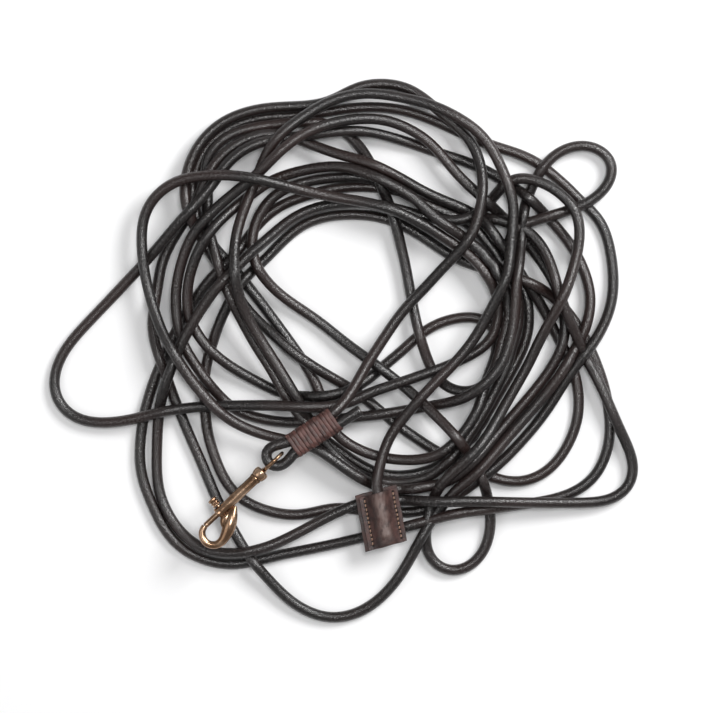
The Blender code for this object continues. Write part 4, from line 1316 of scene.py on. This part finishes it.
# ---------------------------------------------------------------- the bolt snap
@dataclass
class BoltSnap:
    """The swivel eye, the barrel with its hook, the sliding bolt, its stud and its spring, in mm.

    Every profile is about the snap's axis: Z runs along it to the hook, and X to the thumb stud.
    """

    barrel: float = 3.7
    bore: float = 2.6
    bolt: float = 2.2
    stud_at: float = 34.6
    voxel: float = 0.24
    sides: int = 72
    spring_span: tuple[float, float] = (2.4, 16.7)
    squashed: float = 0.36

    @staticmethod
    def frame(t: float = 0.0, u: float = 0.0) -> Matrix:
        """The placing matrix at a point of the snap's axis."""
        c, s = math.cos(SNAP_ANGLE), math.sin(SNAP_ANGLE)
        return axes_at((*snap_point(t, u), SNAP_Z), (s, -c, 0), (c, s, 0))

    def turned_skin(self, corners: Points, radius: float, place: Matrix | None = None) -> Skin:
        """A profile of radius and height turned about the snap's axis, with its corners rounded."""
        profile = rounded_profile(corners, radius)
        rings = placed(lathe(profile, self.sides), place or self.frame())
        legs = np.linalg.norm(np.diff(profile, axis=0), axis=1)
        along = np.concatenate([[0.0], np.cumsum(legs)]) * MM
        return Skin(in_place(rings), along, np.linspace(0, 0.02, self.sides + 1))

    def eye(self) -> bpy.types.Object:
        """The swivel eye: a flattened loop about the cord's eye, on a stem with a riveted head.

        The loop's line at angle a is (0, 6.6 sin a, -14.65 + 8.05 cos a), and its round bar is 2.7 mm
        thick, thicker by 18% where it meets the stem.

        Returns:
            The piece.
        """
        angle = np.linspace(0, 2 * math.pi, 120)
        line = np.stack([0 * angle, 6.6 * np.sin(angle), -14.65 + 8.05 * np.cos(angle)], axis=1)
        size = 1.35 * (1 + 0.18 * np.exp(-4 * (1 - np.cos(angle))))
        heading = np.stack([0 * angle, 6.6 * np.cos(angle), -8.05 * np.sin(angle)], axis=1)
        out = unit(np.cross(heading, (1.0, 0.0, 0.0)))
        rings = placed(swept(line, out, size, size, circle(24)), self.frame())
        loop = Skin(in_place(rings), angle * 0.009, np.linspace(0, 0.01, 25))
        stem = self.turned_skin(
            (
                (0.05, -7.5), (1.2, -7.2), (2.0, -6.2), (2.0, -1.3), (3.3, -1.2), (3.3, -0.1),
                (2.6, 0.5), (0.05, 0.5),
            ),
            0.5,
        )
        piece = self.fused(skinned("snap_swivel_eye", [loop, stem]), 4)
        return dressed(piece, AntiqueBronze("bronze_eye").material(), "swivel", "snap_bronze", "swivel_eye")

    def fused(self, piece: bpy.types.Object, rounds: int) -> bpy.types.Object:
        """Melts a piece's overlapping shells into one skin, with small fillets, as a casting has."""
        remesh = piece.modifiers.new("one_skin", "REMESH")
        remesh.mode, remesh.voxel_size, remesh.use_smooth_shade = "VOXEL", self.voxel * MM, True
        soften = piece.modifiers.new("fillets", "SMOOTH")
        soften.factor, soften.iterations = 0.5, rounds
        return baked(piece)

    def hook(self) -> Skin:
        """The hook, a bar that swells to 9.2 mm past the barrel and thins to its seat.

        Returns:
            The hook's surface.
        """
        stations = np.array(
            (
                (26.0, -4.3, 1.2), (30.5, -6.9, 3.2), (35.0, -9.6, 4.4), (39.7, -12.3, 4.6),
                (45.0, -14.7, 3.8), (51.0, -15.7, 3.0), (55.8, -13.4, 2.7), (58.0, -8.8, 2.65),
                (57.0, -4.2, 2.5), (54.3, -1.2, 2.35), (50.9, 0.0, 2.15),
            )
        )
        fine = natural_spline(stations, 14)
        line = np.stack([fine[:, 1], 0 * fine[:, 0], fine[:, 0]], axis=1)
        up = np.broadcast_to((0.0, 1.0, 0.0), line.shape)
        rings = swept(line, up, fine[:, 2], fine[:, 2] * 0.93, circle(40), 0.95)
        return Skin(in_place(placed(rings, self.frame())), fine[:, 0] * MM, np.linspace(0, 0.025, 41))

    def web(self) -> Skin:
        """The casting's web, which fills the corner between the barrel and the hook's root."""
        stations = np.array(
            ((28.0, -3.9, 1.1), (33.0, -5.4, 2.6), (37.5, -6.1, 3.1), (40.0, -7.8, 2.6), (41.6, -10.0, 1.6))
        )
        fine = natural_spline(stations, 12)
        line = np.stack([fine[:, 1], 0 * fine[:, 0], fine[:, 0]], axis=1)
        up = np.broadcast_to((0.0, 1.0, 0.0), line.shape)
        rings = swept(line, up, fine[:, 2], fine[:, 2], circle(32), 0.95)
        return Skin(in_place(placed(rings, self.frame())), fine[:, 0] * MM, np.linspace(0, 0.02, 33))

    def body(self) -> bpy.types.Object:
        """The barrel with its collar and its slot, cast in one with the hook.

        Returns:
            The piece.
        """
        shell = self.turned_skin(
            (
                (2.45, -4.9), (3.8, -4.9), (4.9, -4.2), (5.3, -2.6), (5.1, -0.4), (4.6, 1.2),
                (3.9, 1.7), (3.9, 2.1), (4.3, 2.3), (4.3, 3.3), (3.9, 3.5), (self.barrel, 4.4),
                (self.barrel, 36.9), (3.95, 37.2), (4.1, 37.7), (4.1, 38.4), (3.8, 38.9),
                (3.2, 39.0), (self.bore, 39.0), (self.bore, 2.1), (1.1, 2.0), (1.1, 0.9),
                (3.8, 0.9), (3.8, -1.6), (2.45, -1.7), (2.45, -4.9),
            ),
            0.35,
        )
        shell.capped = False
        piece = skinned("snap_body_cast", [shell])
        seam = piece.modifiers.new("close", "WELD")
        seam.merge_threshold = 1e-5
        cutter = self.slot_cutter()
        cut = piece.modifiers.new("slot", "BOOLEAN")
        cut.operation, cut.solver, cut.object = "DIFFERENCE", "EXACT", cutter
        baked(piece)
        bpy.data.objects.remove(cutter)
        limbs = [
            mesh_object(name, *skin.faces())
            for name, skin in (("snap_hook", self.hook()), ("snap_web", self.web()))
        ]
        joined = join("snap_body_cast", [piece, *limbs])
        self.fused(joined, 5)
        return dressed(joined, AntiqueBronze("bronze_body").material(), "snap", "snap_bronze", "snap_body")

    def slot_cutter(self) -> bpy.types.Object:
        """A long round-ended block through the barrel's wall on the stud's side."""
        start, end, half = self.stud_at - 10.6, self.stud_at + 1.6, 1.45
        a = circle(32)
        ring = np.stack([0 * a, half * np.cos(a), half * np.sin(a)], axis=1)
        ring[:, 2] += np.where(np.sin(a) > 0, end - half, start + half)
        rings = np.stack([ring + (x, 0, 0) for x in (1.0, 8.0)])
        skin = Skin(in_place(placed(rings, self.frame())), np.arange(2.0), np.arange(33.0))
        return skinned("slot_cutter", [skin])

    def bolt_piece(self) -> bpy.types.Object:
        """The bolt: a rod with a round nose, a fine groove behind it and a guide shoulder.

        Returns:
            The piece.
        """
        skin = self.turned_skin(
            (
                (0.05, 50.78), (1.5, 50.7), (2.0, 50.2), (2.0, 48.9), (1.86, 48.75), (2.0, 48.6),
                (2.0, 37.6), (self.bolt, 37.2), (self.bolt, 17.3), (1.9, 17.0), (0.05, 17.0),
            ),
            0.3,
        )
        piece = skinned("snap_bolt_rod", [skin])
        finish = AntiqueBronze("bronze_bolt", wear=0.6).material()
        return dressed(piece, finish, "bolt", "bolt_steel", "snap_bolt")

    def stud(self) -> bpy.types.Object:
        """The thumb stud: a neck, two sharp ridges and a crowned, ridged button.

        Returns:
            The piece.
        """
        skin = self.turned_skin(
            (
                (0.05, 10.9), (2.3, 10.8), (3.2, 10.4), (3.45, 9.9), (3.45, 8.9), (3.0, 8.6),
                (2.55, 8.4), (2.55, 8.0), (3.0, 7.8), (3.4, 7.5), (3.4, 6.9), (3.0, 6.6),
                (2.5, 6.4), (2.5, 6.0), (3.0, 5.8), (3.4, 5.5), (3.4, 4.9), (2.6, 4.5),
                (1.15, 4.4), (1.15, 2.45), (0.05, 2.45),
            ),
            0.28,
            self.stud_frame(),
        )
        piece = skinned("snap_thumb_stud", [skin])
        finish = AntiqueBronze("bronze_stud", wear=0.6).material()
        return dressed(piece, finish, "bolt", "snap_bronze", "thumb_stud")

    def stud_frame(self) -> Matrix:
        """The placing matrix of the stud, whose own axis is square to the snap's."""
        c, s = math.cos(SNAP_ANGLE), math.sin(SNAP_ANGLE)
        return axes_at((*snap_point(self.stud_at, 0), SNAP_Z), (0, 0, 1), (s, -c, 0))

    def spring(self) -> bpy.types.Object:
        """The bolt's spring, a wire on a helix: (1.7 cos a, 1.7 sin a, h a).

        Returns:
            The piece.
        """
        turns, wire, low, high = 8, 0.35, *self.spring_span
        angle = np.linspace(0, 2 * math.pi * turns, turns * 40)
        height = np.linspace(low + wire, high - wire, len(angle))
        line = np.stack([1.7 * np.cos(angle), 1.7 * np.sin(angle), height], axis=1)
        out = np.stack([np.cos(angle), np.sin(angle), 0 * angle], axis=1)
        size = np.full(len(angle), wire)
        rings = placed(swept(line, out, size, size, circle(12)), self.frame())
        skin = Skin(in_place(rings), angle * 0.0017, np.linspace(0, 0.0022, 13))
        piece = skinned("snap_spring_wire", [skin])
        spring = dressed(piece, SpringSteel().material(), "snap", "bolt_steel", "bolt_spring")
        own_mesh(spring)
        return spring

    def build(self) -> None:
        """Builds and dresses every piece of the snap."""
        self.eye()
        self.body()
        self.bolt_piece()
        self.stud()
        self.spring()


def join(name: str, pieces: Sequence[bpy.types.Object]) -> bpy.types.Object:
    """One object with the meshes of several, which are removed.

    Args:
        name: The name of the object.
        pieces: The objects to join.

    Returns:
        The new object.
    """
    points, loops, sizes, base = [], [], [], 0
    for piece in pieces:
        mesh = piece.data
        co = np.empty(len(mesh.vertices) * 3, np.float32)
        mesh.vertices.foreach_get("co", co)
        corner = np.empty(len(mesh.loops), np.int32)
        mesh.loops.foreach_get("vertex_index", corner)
        total = np.empty(len(mesh.polygons), np.int32)
        mesh.polygons.foreach_get("loop_total", total)
        points.append(co.reshape(-1, 3).astype(float))
        loops.append(corner + base)
        sizes.append(total)
        base += len(mesh.vertices)
        bpy.data.objects.remove(piece)
    corner, total = np.concatenate(loops), np.concatenate(sizes)
    starts = np.concatenate([[0], np.cumsum(total)[:-1]])
    groups = [
        corner[starts[total == size][:, None] + np.arange(size)] for size in np.unique(total)
    ]
    return mesh_object(name, np.concatenate(points), groups)


# ---------------------------------------------------------------- the end tab
@dataclass
class EndTab:
    """Two layers of leather sewn over the cord's end, in mm about the tab's own middle.

    X runs across the tab, Y along it towards the cord's entry, and z = 0 is the cord's own middle.
    """

    width: float = 27.5
    length: float = 38.0
    leather: float = 2.2
    cord: float = 7.5
    gap: float = 0.3
    shear: float = 0.085
    stitch: float = 3.0
    stitches: int = 11
    row: float = 10.2
    thread: float = 0.42

    def frame(self) -> Matrix:
        """The placing matrix of the tab's own axes."""
        x_axis = (math.cos(TAB_ANGLE), math.sin(TAB_ANGLE), 0)
        return axes_at((*TAB_CENTRE, TAB_CORD_Z), x_axis, (0, 0, 1))

    def holes(self) -> Array:
        """The x and y of every stitch hole, the left row first."""
        y = (np.arange(self.stitches + 1) - self.stitches / 2) * self.stitch + 0.4
        return np.stack([np.stack([0 * y + side * self.row, y], axis=1) for side in (-1, 1)])

    def near_hole(self, x: Array, y: Array, reach: float) -> Array:
        """exp(-(d / reach)^2), where d is the distance to the nearest stitch hole."""
        spots = self.holes().reshape(-1, 2)
        distance = np.stack([np.hypot(x - sx, y - sy) for sx, sy in spots]).min(axis=0)
        return np.exp(-((distance / reach) ** 2))

    def ridge(self, x: Array, y: Array) -> Array:
        """How far the front stands up over the cord, from 0 at the rows to 1 on the cord.

        It is exp(-(|x| / 6.6)^3) across. It falls smoothly to 0.12 past the cord's end, between
        y = -11 and -20, and slackens a little towards the entry.

        Args:
            x: Positions across the tab.
            y: Positions along it.

        Returns:
            The ridge's share at each position.
        """
        t = np.clip((y + 20) / 9, 0, 1)
        fade = 0.12 + 0.88 * t * t * (3 - 2 * t)
        return np.exp(-((np.abs(x) / 6.6) ** 3)) * fade

    def front_top(self, x: Array, y: Array) -> Array:
        """The front's upper face: the flat, plus the ridge, less the rows' groove and the holes."""
        low = -self.cord / 2 + self.leather
        rise = self.cord / 2 + self.gap + self.leather - low
        z = low + rise * self.ridge(x, y)
        z = z - 0.28 * np.exp(-(((np.abs(x) - self.row) / 1.3) ** 2))
        z = z - 0.75 * self.near_hole(x, y, 0.60)
        z = z + 0.10 * np.sin(0.31 * y + 0.22 * x) + 0.05 * np.sin(0.9 * y - 0.5 * x + 1)
        return z + 0.12 * ((np.abs(x) / 13.75) ** 6)

    def sheet(self, name: str, x: Array, y: Array, top: Array, bottom: Array) -> bpy.types.Object:
        """A closed sheet between two grids of heights, with its edges rounded over.

        Args:
            name: The piece's name.
            x: The positions across, a grid.
            y: The positions along, a grid.
            top: The upper face's heights.
            bottom: The lower face's heights.

        Returns:
            The piece.
        """
        wave = 0.12 * np.sin(0.45 * y + 1.0)
        slant = y + self.shear * x + 0.12 * np.sin(0.5 * x)
        faces = [np.stack([x + wave, slant, z], axis=-1) for z in (top, bottom)]
        points = np.concatenate([face.reshape(-1, 3) for face in faces])
        rows, columns = x.shape
        n = np.arange(rows * columns).reshape(rows, columns)
        upper = np.stack([n[:-1, :-1], n[:-1, 1:], n[1:, 1:], n[1:, :-1]], axis=-1).reshape(-1, 4)
        edge = np.concatenate([n[0, :-1], n[:-1, -1], n[-1, :0:-1], n[:0:-1, 0]])
        ahead = np.roll(edge, -1)
        wall = np.stack([edge, edge + n.size, ahead + n.size, ahead], axis=1)
        points = in_place(placed(points, self.frame()))
        piece = mesh_object(name, points, [np.concatenate([upper, upper[:, ::-1] + n.size, wall])])
        bevel = piece.modifiers.new("edge", "BEVEL")
        bevel.width, bevel.segments, bevel.limit_method = 0.4 * MM, 3, "ANGLE"
        bevel.angle_limit = math.radians(50)
        return baked(piece)

    def marked(self, piece: bpy.types.Object, front: bool, half: float, reach: float) -> bpy.types.Object:
        """Writes where a piece is stretched, holed and cut into values on its vertices.

        Args:
            piece: The piece.
            front: Whether it is the front layer, which has the ridge and the holes.
            half: Half its width.
            reach: Half its length.

        Returns:
            The piece.
        """
        mesh = piece.data
        flat = np.empty(len(mesh.vertices) * 3, np.float32)
        mesh.vertices.foreach_get("co", flat)
        world = flat.reshape(-1, 3) / MM + (*CENTRE, 0.0)
        local = placed(world, self.frame().inverted())
        x, y = local[:, 0], local[:, 1] - self.shear * local[:, 0]
        if not front:
            x, y = x + 1.2, y - 1.0
        edge = np.maximum(np.abs(x) - half, np.abs(y) - reach)
        values = {"edge": np.clip((edge + 0.42) / 0.4, 0, 1)}
        values["stretch"] = self.ridge(x * 1.5, y) if front else 0 * x
        # where the stitch holes get their painted shade
        values["hole_shade"] = np.clip(1.9 * self.near_hole(x, y, 0.66), 0, 1) if front else 0 * x
        for name, value in values.items():
            layer = mesh.attributes.new(name, "FLOAT", "POINT")
            layer.data.foreach_set("value", value.astype(np.float32))
        return piece

    def front(self) -> bpy.types.Object:
        """The front layer, moulded over the cord's end and sewn down at both sides.

        Returns:
            The piece.
        """
        across = np.linspace(-1, 1, 104) * self.width / 2
        along = np.linspace(-1, 1, 140) * self.length / 2
        x, y = np.meshgrid(across, along)
        top = self.front_top(x, y)
        slope = np.hypot(*np.gradient(top, along, across))
        bottom = top - self.leather * np.sqrt(1 + slope**2).clip(1, 1.5)
        bottom = np.maximum(bottom, -self.cord / 2 + 0.02)
        sheet = self.sheet("tab_front_leather", x, y, top, bottom)
        return self.marked(sheet, True, self.width / 2, self.length / 2)

    def back(self) -> bpy.types.Object:
        """The back layer, which stands out past the front at the left and at the entry."""
        half, reach = self.width / 2 + 1.25, self.length / 2 + 1.0
        x, y = np.meshgrid(np.linspace(-1, 1, 60) * half - 1.2, np.linspace(-1, 1, 80) * reach + 1.0)
        top = -self.cord / 2 - self.gap + 0.10 * np.sin(0.28 * x + 0.2 * y)
        return self.marked(self.sheet("tab_back_leather", x, y, top, top - self.leather), False, half, reach)

    def row_of_stitches(self, name: str, spots: Array) -> bpy.types.Object:
        """One row of slanting stitches, each dipping into a hole at both ends.

        A stitch's line at t in 0..1 is its holes' own line, with 0.32 (1 - |2t - 1|^3) - 0.30 mm of
        height over the leather and 0.45 (t - 0.5) mm of slant. Its bar is thickest at its middle.

        Args:
            name: The piece's name.
            spots: The x and y of the row's holes.

        Returns:
            The piece.
        """
        t = np.linspace(0.19, 0.81, 17)
        height = 0.50 * (1 - np.abs((t - 0.5) / 0.31) ** 3) - 0.26
        size = self.thread * np.clip(1.15 - np.abs((t - 0.5) / 0.31) ** 6, 0.3, 1)
        skins = []
        for number, (first, last) in enumerate(zip(spots[:-1], spots[1:])):
            lean = 0.45 + 0.12 * math.sin(2.3 * number)
            x = first[0] + lean * (t - 0.5) + 0.06 * math.sin(1.7 * number)
            y = first[1] + (last[1] - first[1]) * t
            base = self.front_top(x, y) + 0.75 * self.near_hole(x, y, 0.60)
            line = np.stack([x, y + self.shear * x, base + height], axis=1)
            rings = placed(round_tube(line, size, 12), self.frame())
            skins.append(Skin(in_place(rings), (y + 40) * MM, np.linspace(0, 0.0026, 13)))
        return skinned(name, skins)

    def build(self) -> list[bpy.types.Object]:
        """Builds and dresses the tab.

        Returns:
            Its pieces, which the cord ends in.
        """
        leather, thread = TabLeather().material(), WaxedThread().material()
        left, right = self.holes()
        return [
            dressed(self.front(), leather, "cord", "tab_leather", "tab_front"),
            dressed(self.back(), leather, "cord", "tab_leather", "tab_back"),
            dressed(self.row_of_stitches("stitch_row_left", left), thread, "cord", "thread", "stitches_left"),
            dressed(
                self.row_of_stitches("stitch_row_right", right), thread, "cord", "thread", "stitches_right"
            ),
        ]


# ---------------------------------------------------------------- the studio
@dataclass
class Studio:
    """A white floor, a big soft light from the right and away, a weak fill, and the camera."""

    height: float = 2.6
    width: float = 0.499
    middle: tuple[float, float] = (0.0093, -0.0037)
    plane: float = 0.012

    def floor(self) -> None:
        """The floor, a fine grid on z = 0."""
        side = np.linspace(-2.5, 2.5, 9)
        x, y = np.meshgrid(side, side)
        n = np.arange(81).reshape(9, 9)
        faces = np.stack([n[:-1, :-1], n[:-1, 1:], n[1:, 1:], n[1:, :-1]], axis=-1).reshape(-1, 4)
        floor = mesh_object("floor", np.stack([x, y, 0 * x], axis=-1).reshape(-1, 3), [faces])
        floor.data.materials.append(PaleFloor().material())

    def light(self, name: str, place: Sequence[float], size: float, power: float) -> None:
        """A square soft light that shines on the coil's middle."""
        lamp = bpy.data.lights.new(name, "AREA")
        lamp.size, lamp.energy = size, power
        light = bpy.data.objects.new(name, lamp)
        light.location = place
        light.rotation_euler = (-Vector(place)).to_track_quat("-Z", "Y").to_euler()
        bpy.context.scene.collection.objects.link(light)

    def camera(self) -> None:
        """The camera, straight above the coil."""
        lens = bpy.data.cameras.new("camera")
        lens.sensor_width = 36.0
        lens.lens = lens.sensor_width * (self.height - self.plane) / self.width
        camera = bpy.data.objects.new("camera", lens)
        camera.location = (*self.middle, self.height)
        bpy.context.scene.collection.objects.link(camera)
        bpy.context.scene.camera = camera

    def build(self) -> None:
        """Builds the studio."""
        self.camera()
        self.floor()
        self.light("key", (1.05, 0.85, 1.35), 0.80, 28.0)
        self.light("top", (0.18, 0.22, 2.2), 0.45, 14.0)
        self.light("fill", (-1.2, -0.3, 1.6), 1.2, 6.0)
        world = bpy.data.worlds.new("studio")
        world.use_nodes = True
        world.node_tree.nodes["Background"].inputs["Color"].default_value = (1.0, 1.0, 1.0, 1.0)
        world.node_tree.nodes["Background"].inputs["Strength"].default_value = 0.34
        bpy.context.scene.world = world
        bpy.context.scene.view_settings.view_transform = "Standard"


def corners(box: object) -> list[list[float]]:
    """A box's lowest and highest corners as plain lists."""
    return [[float(value) for value in corner] for corner in box]


def main() -> None:
    """Builds the studio and every piece of the leash."""
    logging.basicConfig(level=logging.INFO, format="%(name)s: %(message)s")
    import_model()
    Studio().build()
    fittings = EndTab().build()
    LeashCord().build(fittings)
    Whipping().build()
    BoltSnap().build()


if __name__ == "__main__":
    main()
